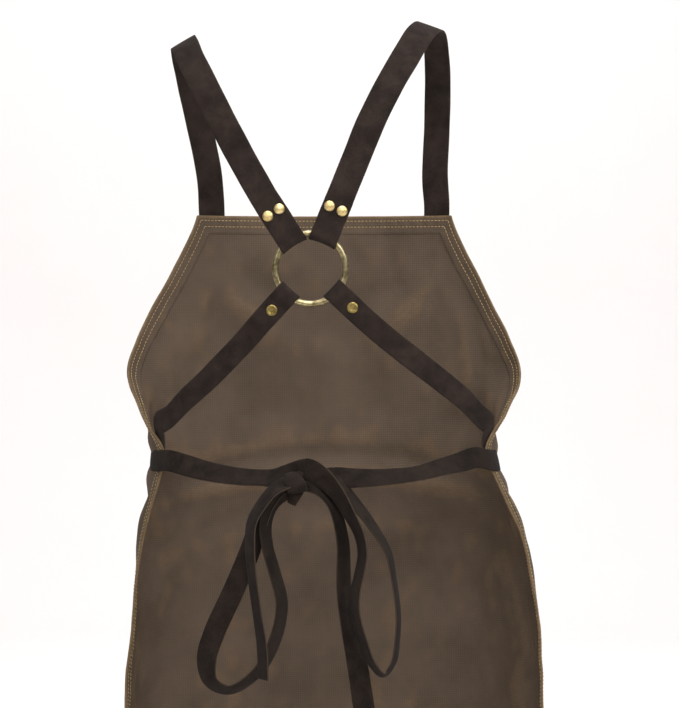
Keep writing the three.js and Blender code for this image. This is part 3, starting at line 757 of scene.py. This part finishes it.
def waxed_canvas(add, colours):
    """Waxed cotton duck: a dull plain weave, darker where the wax lies thick and paler on worn edges."""
    flat = add("ShaderNodeUVMap", uv_map="flat")
    place = add("ShaderNodeTexCoord", take="Object")
    # Duck has threads about 0.7 mm apart. They are drawn 2.4 mm apart so that the weave shows.
    wave = {"Vector": flat, "Scale": 2 * math.pi / 20 / (2.4 * MM), "Distortion": 0.6, "Detail": 1.0,
            "Detail Scale": 1.5}
    warp = add("ShaderNodeTexWave", wave, "Fac", bands_direction="X")
    weft = add("ShaderNodeTexWave", wave, "Fac", bands_direction="Y")
    weave = add("ShaderNodeMath", {0: warp, 1: weft}, operation="MULTIPLY")
    pattern = {"Vector": place, "Scale": 1 / (55 * MM), "Detail": 6.0, "Roughness": 0.6}
    clouds, ground = clouded(add, pattern, 0.35, 0.68, colours.canvas_dark, colours.canvas)
    slubs = add("ShaderNodeTexNoise", {"Vector": flat, "Scale": 1 / (5 * MM), "Detail": 3.0}, "Fac")
    thread_share = add("ShaderNodeMapRange", {"Value": weave, "To Max": 0.45})
    threads = add("ShaderNodeMix", {SHARE: thread_share, LOW: ground, HIGH: colours.canvas_pale}, MIXED,
                  data_type="RGBA")
    wear = add("ShaderNodeAttribute", take="Fac", attribute_name="edge_wear")
    wear_share = add("ShaderNodeMath", {0: wear, 1: slubs}, operation="MULTIPLY")
    worn = add("ShaderNodeMix", {SHARE: wear_share, LOW: threads, HIGH: colours.canvas_edge}, MIXED,
               data_type="RGBA")
    height = add("ShaderNodeMath", {0: weave, 1: slubs}, operation="ADD")
    bump = add("ShaderNodeBump", {"Height": height, "Strength": 0.45, "Distance": 0.35 * MM})
    rough = add("ShaderNodeMapRange", {"Value": clouds, "To Min": 0.9, "To Max": 0.68})
    return add("ShaderNodeBsdfPrincipled", {
        "Base Color": worn, "Roughness": rough, "IOR": 1.47, "Specular IOR Level": 0.18, "Normal": bump})


def brushed_hide(add, dark, pale, edge):
    """Hide with a brushed face, cut into straps: matt, cloudy where the nap turns, paler on cut edges."""
    place = add("ShaderNodeTexCoord", take="Object")
    pattern = {"Vector": place, "Scale": 1 / (22 * MM), "Detail": 5.0, "Roughness": 0.62, "Distortion": 0.4}
    _, ground = clouded(add, pattern, 0.36, 0.66, dark, pale)
    # Nap fibres are about 0.2 mm long. Their clumps are drawn 1.6 mm wide so that they show.
    pattern = {"Vector": place, "Scale": 1 / (1.6 * MM), "Detail": 3.0, "Roughness": 0.7}
    nap = add("ShaderNodeTexNoise", pattern, "Fac")
    nap_share = add("ShaderNodeMapRange", {"Value": nap, "From Min": 0.5, "From Max": 0.85, "To Max": 0.3})
    napped = add("ShaderNodeMix", {SHARE: nap_share, LOW: ground, HIGH: edge}, MIXED, data_type="RGBA")
    wear = add("ShaderNodeAttribute", take="Fac", attribute_name="edge_wear")
    wear_share = add("ShaderNodeMath", {0: wear, 1: 0.8}, operation="MULTIPLY")
    worn = add("ShaderNodeMix", {SHARE: wear_share, LOW: napped, HIGH: edge}, MIXED, data_type="RGBA")
    bump = add("ShaderNodeBump", {"Height": nap, "Strength": 0.35, "Distance": 0.4 * MM})
    return add("ShaderNodeBsdfPrincipled", {
        "Base Color": worn, "Roughness": 0.9, "IOR": 1.5, "Specular IOR Level": 0.08,
        "Sheen Weight": 0.02, "Sheen Roughness": 0.5, "Normal": bump})


def cast_brass(add, dark, pale, roughness):
    """Brass hardware: warm metal, darker in patches where it has aged, with fine handling marks."""
    place = add("ShaderNodeTexCoord", take="Object")
    pattern = {"Vector": place, "Scale": 1 / (7 * MM), "Detail": 5.0, "Roughness": 0.65}
    patches, colour = clouded(add, pattern, 0.36, 0.64, dark, pale)
    marks = add("ShaderNodeTexNoise", {"Vector": place, "Scale": 1 / (0.9 * MM), "Detail": 2.0}, "Fac")
    rough = add("ShaderNodeMapRange", {
        "Value": patches, "To Min": roughness + 0.14, "To Max": roughness - 0.08})
    bump = add("ShaderNodeBump", {"Height": marks, "Strength": 0.12, "Distance": 0.1 * MM})
    return add("ShaderNodeBsdfPrincipled", {
        "Base Color": colour, "Metallic": 1.0, "Roughness": rough, "Normal": bump})


def waxed_thread(add, colours):
    """Heavy waxed thread: pale, slightly shiny, uneven in tone from stitch to stitch."""
    place = add("ShaderNodeTexCoord", take="Object")
    pattern = {"Vector": place, "Scale": 1 / (9 * MM), "Detail": 2.0}
    _, colour = clouded(add, pattern, 0.0, 1.0, colours.thread_dark, colours.thread)
    return add("ShaderNodeBsdfPrincipled", {"Base Color": colour, "Roughness": 0.6, "IOR": 1.5})


def studio_paper(add):
    """Matt white background paper: an even pale sheet with the faintest mottle."""
    place = add("ShaderNodeTexCoord", take="Object")
    pattern = {"Vector": place, "Scale": 3 / (1000 * MM), "Detail": 2.0}
    _, colour = clouded(add, pattern, 0.0, 1.0, linear("#f4f1ef"), linear("#f7f4f3"))
    return add("ShaderNodeBsdfPrincipled", {"Base Color": colour, "Roughness": 0.95})


def loop_axis(loop):
    angle = math.radians(loop[0])
    return np.array([math.sin(angle), 0.0, math.cos(angle)])


def ring_place(loop, away, out, across=0.0):
    """A place by the ring: along the strap from the ring's centre, out behind it, across the strap."""
    axis = loop_axis(loop)
    return RING_AT + axis * away + OUT * out + np.cross(axis, OUT) * (loop[1] * MM + across)


def ring_stations(loop, width, thickness, metal):
    """A strap's end folded round the ring, as places, faces and bows of its front edge."""
    axis = loop_axis(loop)
    shift, rivet, leave, end = (MM * value for value in loop[1:])
    layer = thickness / 2 + GAP / 2
    over = metal.ring_wire + WIRE_EASE + thickness / 2
    chord = math.sqrt(metal.ring_radius ** 2 - (width / 2 + abs(shift)) ** 2)
    turn = chord - metal.ring_wire * (metal.ring_radius / chord - 1)
    bow = (metal.ring_radius - chord) / 2
    mouth = metal.ring_radius + metal.ring_wire + MOUTH_EASE
    close = rivet - LOOP_CLOSES_BEFORE_RIVET
    shares = np.linspace(0, 1, FOLD_STATIONS["slope"])
    top = [(mix(mouth, close, s), mix(over, layer, smooth(s)), bow * (1 - s)) for s in shares]
    rows = [(end, -layer, 0.0, -OUT)]
    rows += [(away, -out, bowed, -OUT) for away, out, bowed in top[::-1]]
    for angle in np.radians(np.linspace(-90, 90, FOLD_STATIONS["turn"])):
        face = -axis * math.cos(angle) + OUT * math.sin(angle)
        rows.append((turn - over * math.cos(angle), over * math.sin(angle), bow, face))
    rows += [(away, out, bowed, OUT) for away, out, bowed in top]
    shares = np.linspace(0, 1, FOLD_STATIONS["leave"])
    rows += [(mix(close, leave, s), layer, 0.0, OUT) for s in shares[1:]]
    places = np.array([ring_place(loop, away, out) for away, out, _, _ in rows])
    return places, np.array([row[3] for row in rows]), np.array([row[2] for row in rows])


def riveted_strap(loop, spots, faces, width, thickness, metal):
    """A strap from its fold round the ring, through spots with their facings, to its sewn end."""
    places, turned, bows = ring_stations(loop, width, thickness, metal)
    run, eased = through(np.vstack([places[-1], spots]), np.vstack([turned[-1], faces]), STRAP_STEP)
    places = np.vstack([places, run[1:]])
    turned = np.vstack([turned, unit(eased[1:])])
    bows = np.concatenate([bows, np.zeros(len(run) - 1)])
    drift = np.arange(len(places))
    wavy = width * (1 + sum(share * np.sin(pace * drift + start) for share, pace, start in UNEVEN_CUT))
    return strip(places, turned, 0.0, wavy, thickness, STRAP_CROWN, bows, loop_axis(loop))


def bow_places(rows):
    """The places in a table of the bow's strands."""
    return np.stack([MM * rows[:, 0], KNOT_AT[1] - MM * rows[:, 2], MM * rows[:, 1]], -1)


def free_strand(rows, tie):
    """A free strand of a tie, from a table of its places, twists and widths."""
    places, eased = through(bow_places(rows), rows[:, 3:], TIE_STEP)
    faces = np.tile(OUT, (len(places), 1))
    return strip(places, faces, eased[:, 0], tie.width * eased[:, 1], tie.thickness, STRAND_CROWN)


def waist_run(hand, side, tie):
    """A tie from its sewn end on the panel, over the worn form, into the knot."""
    lift = TIE_EASE + tie.thickness / 2
    sewn, sewn_faces = on_panel(side * TIE_SEAM[:, 0], TIE_SEAM[:, 1], lift)
    run = WAIST_RUNS[hand]
    worn, worn_faces = on_form(MM * run[:, :3], lift)
    entry = RUNS_IN[hand]
    spots = np.vstack([sewn, worn, bow_places(entry)])
    faces = np.vstack([sewn_faces, worn_faces, np.tile(OUT, (len(entry), 1))])
    twist = np.concatenate([np.zeros(len(sewn)), run[:, 3], entry[:, 3]])
    share = np.concatenate([np.ones(len(sewn) + len(worn)), entry[:, 4]])
    places, eased = through(spots, np.column_stack([faces, twist, share]), TIE_STEP)
    return strip(places, unit(eased[:, :3]), eased[:, 3], tie.width * eased[:, 4], tie.thickness, RUN_CROWN)


def knot_turn(tie):
    """The band of the right tie that goes once round the knot."""
    around = np.vstack([KNOT_TURN[-2:], KNOT_TURN, KNOT_TURN[:3]])
    spots = bow_places(around)
    places, eased = through(spots, around[:, 3:], TURN_STEP)
    starts = np.linalg.norm(places - spots[2], axis=1).argmin()
    ends = len(places) - 1 - np.linalg.norm(places[::-1] - spots[-3], axis=1).argmin()
    places, eased = places[starts:ends], eased[starts:ends]
    faces = unit((places - places.mean(0)) * TURN_FACING)
    return strip(places, faces, 0.0, tie.width * eased[:, 0], tie.thickness, TURN_CROWN, closed=True)


def lathe(profile, sides):
    """A closed turned shape about its own upward axis, from a profile that starts and ends on the axis."""
    angle = 2 * np.pi * np.arange(sides) / sides
    inner = profile[1:-1]
    rows = np.stack([np.outer(inner[:, 0], np.cos(angle)), np.outer(inner[:, 0], np.sin(angle)),
                     np.repeat(inner[:, 1:], sides, 1)], -1).reshape(-1, 3)
    points = np.vstack([rows, [0, 0, profile[0, 1]], [0, 0, profile[-1, 1]]])
    low, high = len(rows), len(rows) + 1
    last = low - sides
    polygons = grid_quads(len(inner), sides, loop_columns=True).tolist()
    polygons += [(low, (j + 1) % sides, j) for j in range(sides)]
    polygons += [(high, last + j, last + (j + 1) % sides) for j in range(sides)]
    return points, polygons


def stitch_rows(places, along, faces):
    """Stitches at places, each a short bowed thread that dips into the cloth at its ends."""
    count, sides = STITCH["steps"], STITCH["sides"]
    steps = np.linspace(-1, 1, count)
    around = 2 * np.pi * np.arange(sides) / sides
    reach = STITCH["length"] / 2 * steps
    thin = np.maximum(STITCH_ENDS["least"], 1 - STITCH_ENDS["thinner"] * steps ** 2)
    thick = STITCH["radius"] * np.sqrt(thin)
    dip = -STITCH_ENDS["dip"] * STITCH["radius"] * steps ** 2
    local = np.stack([np.repeat(reach[:, None], sides, 1), np.outer(thick, np.cos(around)),
                      dip[:, None] + np.outer(thick, np.sin(around))], -1).reshape(-1, 3)
    side = unit(np.cross(faces, along))
    points = (places[:, None] + along[:, None] * local[None, :, :1] + side[:, None] * local[None, :, 1:2]
              + faces[:, None] * local[None, :, 2:])
    # Each end of a stitch has six corners and is closed by two quads.
    first = np.array([(0, 5, 4, 3), (0, 3, 2, 1)])
    last = np.array([(0, 1, 2, 3), (0, 3, 4, 5)])
    block = np.vstack([grid_quads(count, sides, loop_columns=True), first, last + (count - 1) * sides])
    starts = count * sides * np.arange(len(places))[:, None, None]
    return points.reshape(-1, 3), (block[None] + starts).reshape(-1, 4)


def lay_stitches(fine, faces):
    """Places, directions and facings of stitches along a line of places with their facings."""
    run = run_along(fine)
    at = np.arange(STITCH["pitch"] / 2, run[-1], STITCH["pitch"])
    ahead = columns_at(at + MM / 2, run, fine) - columns_at(at - MM / 2, run, fine)
    return columns_at(at, run, fine), unit(ahead), unit(columns_at(at, run, faces))


def sewn_line(arcs, drops, lift, side):
    """Stitches along a line on the panel, on its outer or inner side."""
    fine, faces = on_panel(arcs, drops, lift)
    return lay_stitches(fine, side * faces)


def sewn_box(side, straps):
    """Stitches along the four sides of a box on a shoulder strap's end, on its own outer face."""
    spots, faces = on_panel(side * BIB_SEAM[:, 0], BIB_SEAM[:, 1], straps.thickness / 2 + BIB_EASE)
    places, eased = through(spots, faces, STRAP_STEP)
    along = unit(np.gradient(places, axis=0))
    across = unit(np.cross(along, eased))
    facing = np.cross(across, along)
    half = straps.shoulder_width / 2
    shares = np.linspace(-1, 1, BOX_POINTS) * (1 - BOX_INSET / half)
    rise = straps.thickness / 2 + STRAP_CROWN * (1 - shares ** 2) + STITCH_RISE
    face = places[:, None] + across[:, None] * (half * shares)[:, None] + facing[:, None] * rise[:, None]
    first, last = (np.abs(PANEL_TOP - places[:, 2] - drop).argmin() for drop in BOX_DROPS)
    lengthwise = [lay_stitches(face[first:last + 1, lane], facing[first:last + 1]) for lane in (0, -1)]
    crosswise = [lay_stitches(face[k], np.tile(facing[k], (len(shares), 1))) for k in (first, last)]
    return lengthwise + crosswise


def size_property(name, description, default):
    return bpy.props.FloatProperty(name=name, description=description, default=default, unit="LENGTH")


def colour_property(name, description, hex_colour):
    return bpy.props.FloatVectorProperty(
        name=name, description=description, default=linear(hex_colour),
        subtype="COLOR", size=4, min=0, max=1)


class APRON_PG_panel(bpy.types.PropertyGroup):
    """Sizes of the canvas panel."""

    width: size_property("Skirt width", "Flat width of the skirt", 0.598)
    length: size_property("Length", "Flat length from the bib's top edge to the hem",
                          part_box("apron_panel")[1].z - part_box("apron_panel")[0].z)
    bib_width: size_property("Bib width", "Flat width of the bib's top edge", 0.28)
    hem: size_property("Hem", "Width of the turned hem", 0.018)
    thickness: size_property("Cloth", "Thickness of the cloth", 0.0014)
    hem_thickness: size_property("Hem thickness", "Thickness of the turned hem", 0.0024)


class APRON_PG_straps(bpy.types.PropertyGroup):
    """Sizes of the hide straps."""

    shoulder_width: size_property("Shoulder strap", "Width of a shoulder strap", 0.0285)
    lower_width: size_property("Lower strap", "Width of a lower strap", 0.0235)
    thickness: size_property("Thickness", "Thickness of the hide", 0.0015)


class APRON_PG_ties(bpy.types.PropertyGroup):
    """Sizes of the waist ties."""

    width: size_property("Width", "Width of a tie", 0.022)
    thickness: size_property("Thickness", "Thickness of a tie", 0.0016)


class APRON_PG_metal(bpy.types.PropertyGroup):
    """Sizes of the ring."""

    ring_radius: size_property("Ring radius", "Radius to the middle of the wire", 0.03525)
    ring_wire: size_property("Wire radius", "Radius of the ring's wire", 0.00325)


class APRON_PG_colours(bpy.types.PropertyGroup):
    """Colours of the cloth, hide, thread and metal."""

    canvas: colour_property("Canvas", "Main colour of the canvas", "#584a3e")
    canvas_dark: colour_property("Canvas, waxy", "Canvas where the wax lies thick", "#4b3f34")
    canvas_pale: colour_property("Canvas thread", "Raised threads of the weave", "#6c5c4c")
    canvas_edge: colour_property("Canvas edge", "Worn edges of the hem", "#7d6547")
    thread: colour_property("Thread", "Stitching thread", "#c2a872")
    thread_dark: colour_property("Thread, dark", "Stitching thread where it is soiled", "#8d7748")
    strap: colour_property("Strap", "Brushed face of the straps", "#302723")
    strap_dark: colour_property("Strap, dark", "Straps where the nap lies down", "#201a17")
    # Painted shade: the ties are the same hide as the straps, coloured darker to stand for shade over the
    # waist.
    tie: colour_property("Tie", "Brushed face of the ties", "#29211c")
    tie_shaded_dark: colour_property("Tie, dark", "Ties where the nap lies down", "#1a1512")
    cut_edge: colour_property("Cut edge", "Raw cut edges of the hide", "#43382f")
    ring: colour_property("Ring", "Rubbed metal of the ring", "#beb086")
    ring_dark: colour_property("Ring, dark", "Aged metal of the ring", "#6c6143")
    rivet: colour_property("Rivet", "Rubbed metal of the rivets", "#efdba4")
    rivet_dark: colour_property("Rivet, dark", "Aged metal of the rivets", "#c9ac6c")
    # Painted shade: the flat rivets are the same brass as the domed ones, coloured darker to stand for the
    # dark that their flat faces reflect.
    flat_rivet_shaded: colour_property("Flat rivet", "Rubbed metal of the flat rivets", "#ae985c")
    flat_rivet_shaded_dark: colour_property("Flat rivet, dark", "Aged metal of the flat rivets", "#675931")


class APRON_OT_stage(bpy.types.Operator):
    """Makes the camera, the lights and the pale paper background."""

    bl_idname = "apron.make_stage"
    bl_label = "Stage"

    def execute(self, context):
        scene = context.scene
        camera = bpy.data.objects.new("photo_camera", bpy.data.cameras.new("photo_camera"))
        camera.data.sensor_width = SENSOR
        camera.data.lens = SENSOR * CAMERA_AWAY / VIEW_HEIGHT
        camera.data.clip_end = SEES_TO
        camera.location = CAMERA_AT
        camera.rotation_euler = (math.pi / 2, 0, 0)
        scene.collection.objects.link(camera)
        scene.camera = camera
        world = bpy.data.worlds.new("soft_room")
        world.use_nodes = True
        tree = world.node_tree
        add = partial(add_node, tree)
        way = add("ShaderNodeTexCoord", take="Generated")
        height = add("ShaderNodeSeparateXYZ", {"Vector": way}, "Z")
        rise = add("ShaderNodeMapRange", {"Value": height, "From Min": -0.15, "From Max": 0.75})
        room = add("ShaderNodeMix", {
            SHARE: rise, LOW: linear("#8f8c8a"), HIGH: linear("#fdfcff")}, MIXED, data_type="RGBA")
        background = tree.nodes["Background"]
        tree.links.new(room, background.inputs["Color"])
        background.inputs["Strength"].default_value = ROOM_STRENGTH
        scene.world = world
        scene.view_settings.view_transform = "Standard"
        for name, place, size, watts, target in SOFT_BOXES:
            lamp = bpy.data.lights.new(name, "AREA")
            lamp.size = size
            lamp.energy = watts
            softbox = bpy.data.objects.new(name, lamp)
            softbox.location = place
            aim = Vector(target) - Vector(place)
            softbox.rotation_euler = aim.to_track_quat("-Z", "Y").to_euler()
            scene.collection.objects.link(softbox)
        floor = CAD_BOX[0].z - PAPER_DROP
        start = PAPER_BACK - PAPER_BEND
        curve = [(-PAPER_BACK, floor)]
        for turn in np.linspace(0, np.pi / 2, PAPER_STEPS):
            curve.append((start + PAPER_BEND * math.sin(turn), floor + PAPER_BEND * (1 - math.cos(turn))))
        curve.append((PAPER_BACK, floor + PAPER_BACK))
        points = [(x, y, z) for y, z in curve for x in (-PAPER_BACK, PAPER_BACK)]
        mesh = bpy.data.meshes.new("paper_sweep")
        mesh.from_pydata(points, [], grid_quads(len(curve), 2).tolist())
        mesh.shade_smooth()
        mesh.materials.append(new_material("studio_paper", studio_paper))
        sweep = bpy.data.objects.new("paper_sweep", mesh)
        scene.collection.objects.link(sweep)
        return {"FINISHED"}


class APRON_OT_panel(bpy.types.Operator):
    """Makes the canvas panel: bib and skirt in one cut, with a turned hem all round."""

    bl_idname = "apron.make_panel"
    bl_label = "Canvas panel"

    def execute(self, context):
        size = context.scene.apron_panel
        inset = size.hem + BORDER_EASE
        middle = np.linspace(inset, size.length - inset, PANEL_ROWS)
        drops = np.concatenate([BORDER, middle, size.length - BORDER[::-1]])
        arcs = []
        for drop in drops:
            half = panel_half(size, drop)
            near = BORDER * edge_stretch(size, drop)
            edge = half - inset * edge_stretch(size, drop)
            middle = np.linspace(-edge, edge, PANEL_COLUMNS)
            arcs.append(np.concatenate([-half + near, middle, half - near[::-1]]))
        arcs = np.array(arcs)
        rows, wide = arcs.shape
        levels = np.repeat(drops[:, None], wide, 1)
        to_side = (panel_half(size, levels) - np.abs(arcs)) / edge_stretch(size, levels)
        to_end = np.minimum(levels, size.length - levels)
        inward = np.minimum(to_side, to_end)
        along = np.where(to_side < to_end, levels, arcs)
        in_hem = 1 - smooth((inward - size.hem) / HEM_STEP)
        pucker = PUCKER["height"] * np.sin(2 * np.pi * along / PUCKER["pitch"])
        pucker = pucker * np.sin(np.pi * np.clip(inward / size.hem, 0, 1)) * in_hem
        grooves = sum(bell((inward - line) / GROOVE["breadth"]) for line in STITCH_LINES)
        wall = mix(size.thickness, size.hem_thickness, in_hem)
        outer, _ = on_panel(arcs, levels, pucker - GROOVE["outer"] * grooves)
        inner, _ = on_panel(arcs, levels, pucker - wall + GROOVE["inner"] * grooves)
        grid = np.arange(rows * wide).reshape(rows, wide)
        cells = grid_quads(rows, wide)
        rim = np.concatenate([grid[0, :-1], grid[:-1, -1], grid[-1, :0:-1], grid[:0:-1, 0]])
        within = np.concatenate([grid[1, :-1], grid[:-1, -2], grid[-2, :0:-1], grid[:0:-1, 1]])
        outer, inner = outer.reshape(-1, 3), inner.reshape(-1, 3)
        fold = (outer[rim] + inner[rim]) / 2 + HEM_ROUND * unit(outer[rim] - outer[within])
        total = rows * wide
        folded = 2 * total + np.arange(len(rim))
        after = np.roll(np.arange(len(rim)), -1)
        edges = np.vstack([
            np.stack([rim, folded, folded[after], rim[after]], -1),
            np.stack([folded, total + rim, total + rim[after], folded[after]], -1),
        ])
        points = np.vstack([outer, inner, fold])
        polygons = np.vstack([cells, total + cells[:, ::-1], edges])
        flat = np.stack([arcs.ravel(), levels.ravel()], -1)
        flat = np.vstack([flat, flat, flat[rim]])
        wear = 1 - smooth(inward / HEM_WEAR)
        depth = fold_depth(arcs, levels)
        worn = [np.maximum(wear, rubbed(side * depth)).ravel() for side in (1, -1)]
        marks = np.concatenate(worn + [np.ones(len(rim))])
        canvas = new_material("waxed_canvas", waxed_canvas, context.scene.apron_colours)
        cloth = make_piece("panel_cloth", points, polygons, canvas, "apron_panel", flat, marks)
        return {"FINISHED"}


class APRON_OT_stitching(bpy.types.Operator):
    """Makes the stitches: two rows round the hem, and a box on each strap's end on the bib."""

    bl_idname = "apron.make_stitching"
    bl_label = "Stitching"

    def execute(self, context):
        size, straps = context.scene.apron_panel, context.scene.apron_straps
        lines = []
        for inward in STITCH_LINES:
            drops = np.linspace(inward, size.length - inward, SEAM_POINTS["side"])
            sides = panel_half(size, drops) - inward * edge_stretch(size, drops)
            for lift, side in ((STITCH_RISE, 1), (-size.hem_thickness - INNER_RISE, -1)):
                for hand in (-1, 1):
                    lines.append(sewn_line(hand * sides, drops, lift, side))
                for drop in (inward, size.length - inward):
                    reach = panel_half(size, drop) - inward
                    arcs = np.linspace(-reach, reach, SEAM_POINTS["end"])
                    lines.append(sewn_line(arcs, np.full(len(arcs), drop), lift, side))
        for hand in (-1, 1):
            lines += sewn_box(hand, straps)
        places, along, faces = (np.vstack([line[k] for line in lines]) for k in range(3))
        points, quads = stitch_rows(places, along, faces)
        thread = new_material("waxed_thread", waxed_thread, context.scene.apron_colours)
        make_piece("sewn_stitching", points, quads, thread)
        return {"FINISHED"}


class APRON_OT_straps(bpy.types.Operator):
    """Makes the two shoulder straps and the two lower straps, each folded round the ring."""

    bl_idname = "apron.make_straps"
    bl_label = "Straps"

    def execute(self, context):
        scene = context.scene
        size, panel, colours = scene.apron_straps, scene.apron_panel, scene.apron_colours
        shades = colours.strap_dark, colours.strap, colours.cut_edge
        hide = new_material("brushed_strap_hide", brushed_hide, *shades)
        half = size.thickness / 2
        inside = -(panel.hem_thickness + SIDE_EASE + half)
        kinds = (
            ("shoulder", "upper", SHOULDER_ROUTES, BIB_SEAM, half + BIB_EASE, size.shoulder_width),
            ("lower", "lower", LOWER_ROUTES, SIDE_SEAM, inside, size.lower_width),
        )
        for hand, side in (("left", -1), ("right", 1)):
            for kind, level, routes, seam, lift, width in kinds:
                worn, worn_faces = on_form(routes[hand], half + GAP)
                sewn, sewn_faces = on_panel(side * seam[:, 0], seam[:, 1], lift)
                points, quads, flat, marks, length = riveted_strap(
                    LOOPS[f"{level}_{hand}"], np.vstack([worn, sewn]), np.vstack([worn_faces, sewn_faces]),
                    width, size.thickness, scene.apron_metal)
                strap = make_piece(f"strap_{kind}_{hand}", points, quads, hide,
                                   f"{kind}_strap_{hand}", flat, marks)
        return {"FINISHED"}


class APRON_OT_ties(bpy.types.Operator):
    """Makes the two waist ties with their knot, loops and free ends."""

    bl_idname = "apron.make_ties"
    bl_label = "Waist ties"

    def execute(self, context):
        tie, colours = context.scene.apron_ties, context.scene.apron_colours
        # The ties' hide is coloured darker than the straps' as painted shade.
        shades = colours.tie_shaded_dark, colours.tie, colours.cut_edge
        hide = new_material("brushed_tie_hide_painted_shade", brushed_hide, *shades)
        left = [waist_run("left", -1, tie)]
        left += [free_strand(rows, tie) for rows in (RIGHT_LOOP, LEFT_TAIL)]
        right = [waist_run("right", 1, tie), knot_turn(tie)]
        right += [free_strand(rows, tie) for rows in (KNOT_FOLD, LEFT_LOOP, RIGHT_TAIL)]
        for hand, strands in (("left", left), ("right", right)):
            points, quads, flat, marks, length = join(strands)
            strap = make_piece("tie_waist_" + hand, points, quads, hide,
                               "waist_tie_" + hand, flat, marks)
        return {"FINISHED"}


class APRON_OT_ring(bpy.types.Operator):
    """Makes the round wire ring at the back."""

    bl_idname = "apron.make_ring"
    bl_label = "Back ring"

    def execute(self, context):
        metal, colours = context.scene.apron_metal, context.scene.apron_colours
        steps, sides = RING_POINTS
        turn = 2 * np.pi * np.arange(steps)[:, None] / steps
        around = 2 * np.pi * np.arange(sides)[None, :] / sides
        reach = metal.ring_radius + metal.ring_wire * np.cos(around)
        deep = np.repeat(metal.ring_wire * np.sin(around), steps, 0)
        points = RING_AT + np.stack([reach * np.sin(turn), deep, reach * np.cos(turn)], -1)
        shades = colours.ring_dark, colours.ring
        brass = new_material("aged_cast_brass", cast_brass, *shades, RING_ROUGHNESS)
        make_piece("metal_ring", points.reshape(-1, 3), grid_quads(steps, sides, True, True), brass,
                   "back_ring")
        return {"FINISHED"}


class APRON_OT_rivets(bpy.types.Operator):
    """Makes the domed rivets of the shoulder straps and the flat rivets of the lower straps."""

    bl_idname = "apron.make_rivets"
    bl_label = "Rivets"

    def execute(self, context):
        size, colours = context.scene.apron_straps, context.scene.apron_colours
        shades = colours.rivet_dark, colours.rivet
        bright = new_material("spun_brass", cast_brass, *shades, RIVET_ROUGHNESS)
        # The flat rivets' brass is coloured darker than the domed rivets' as painted shade.
        shades = colours.flat_rivet_shaded_dark, colours.flat_rivet_shaded
        aged = new_material("aged_spun_brass_painted_shade", cast_brass, *shades, FLAT_ROUGHNESS)
        seat = size.thickness + RIVET_EASE
        radius, height = RIVET_BASE
        foot = -seat - height
        stem = np.array([(0, foot), (radius - RIVET_BEVEL, foot), (radius, foot + RIVET_BEVEL),
                         (radius, -seat), (RIVET_POST, -seat), (RIVET_POST, seat)])
        spots = []
        for hand in ("left", "right"):
            loop = LOOPS["upper_" + hand]
            for number, side in ((1, -1), (2, 1)):
                place = ring_place(loop, loop[2] * MM, 0, side * UPPER_RIVET_SPACING / 2)
                spots.append((f"upper_{hand}_{number}", place, DOMED_CAP, bright))
            loop = LOOPS["lower_" + hand]
            spots.append((f"lower_{hand}", ring_place(loop, loop[2] * MM, 0), FLAT_CAP, aged))
        for name, place, cap, brass in spots:
            points, polygons = lathe(np.vstack([stem, cap + [0, seat]]), RIVET_SIDES)
            points = place + np.stack([points[:, 0], -points[:, 2], points[:, 1]], -1)
            make_piece("metal_rivet_" + name, points, polygons, brass, "rivet_" + name)
        return {"FINISHED"}


class APRON_PT_pieces(bpy.types.Panel):
    """Lists the apron's sizes, colours and pieces."""

    bl_label = "Canvas apron"
    bl_idname = "APRON_PT_pieces"
    bl_space_type = "VIEW_3D"
    bl_region_type = "UI"
    bl_category = "Apron"

    def draw(self, context):
        for name, group in SETTINGS.items():
            box = self.layout.box()
            for key in group.__annotations__:
                box.prop(getattr(context.scene, name), key)
        for operator in OPERATORS:
            self.layout.operator(operator.bl_idname)


SETTINGS = {
    "apron_panel": APRON_PG_panel,
    "apron_straps": APRON_PG_straps,
    "apron_ties": APRON_PG_ties,
    "apron_metal": APRON_PG_metal,
    "apron_colours": APRON_PG_colours,
}
OPERATORS = (
    APRON_OT_stage, APRON_OT_ties, APRON_OT_straps, APRON_OT_panel, APRON_OT_stitching, APRON_OT_ring,
    APRON_OT_rivets,
)


def register():
    for group in SETTINGS.values():
        bpy.utils.register_class(group)
    for name, group in SETTINGS.items():
        setattr(bpy.types.Scene, name, bpy.props.PointerProperty(type=group))
    for operator in OPERATORS:
        bpy.utils.register_class(operator)
    bpy.utils.register_class(APRON_PT_pieces)


def unregister():
    bpy.utils.unregister_class(APRON_PT_pieces)
    for operator in reversed(OPERATORS):
        bpy.utils.unregister_class(operator)
    for name, group in SETTINGS.items():
        delattr(bpy.types.Scene, name)
        bpy.utils.unregister_class(group)


def main():
    register()
    bpy.ops.apron.make_stage()
    bpy.ops.apron.make_ties()
    bpy.ops.apron.make_straps()
    bpy.ops.apron.make_panel()
    bpy.ops.apron.make_stitching()
    bpy.ops.apron.make_ring()
    bpy.ops.apron.make_rivets()


if __name__ == "__main__":
    main()
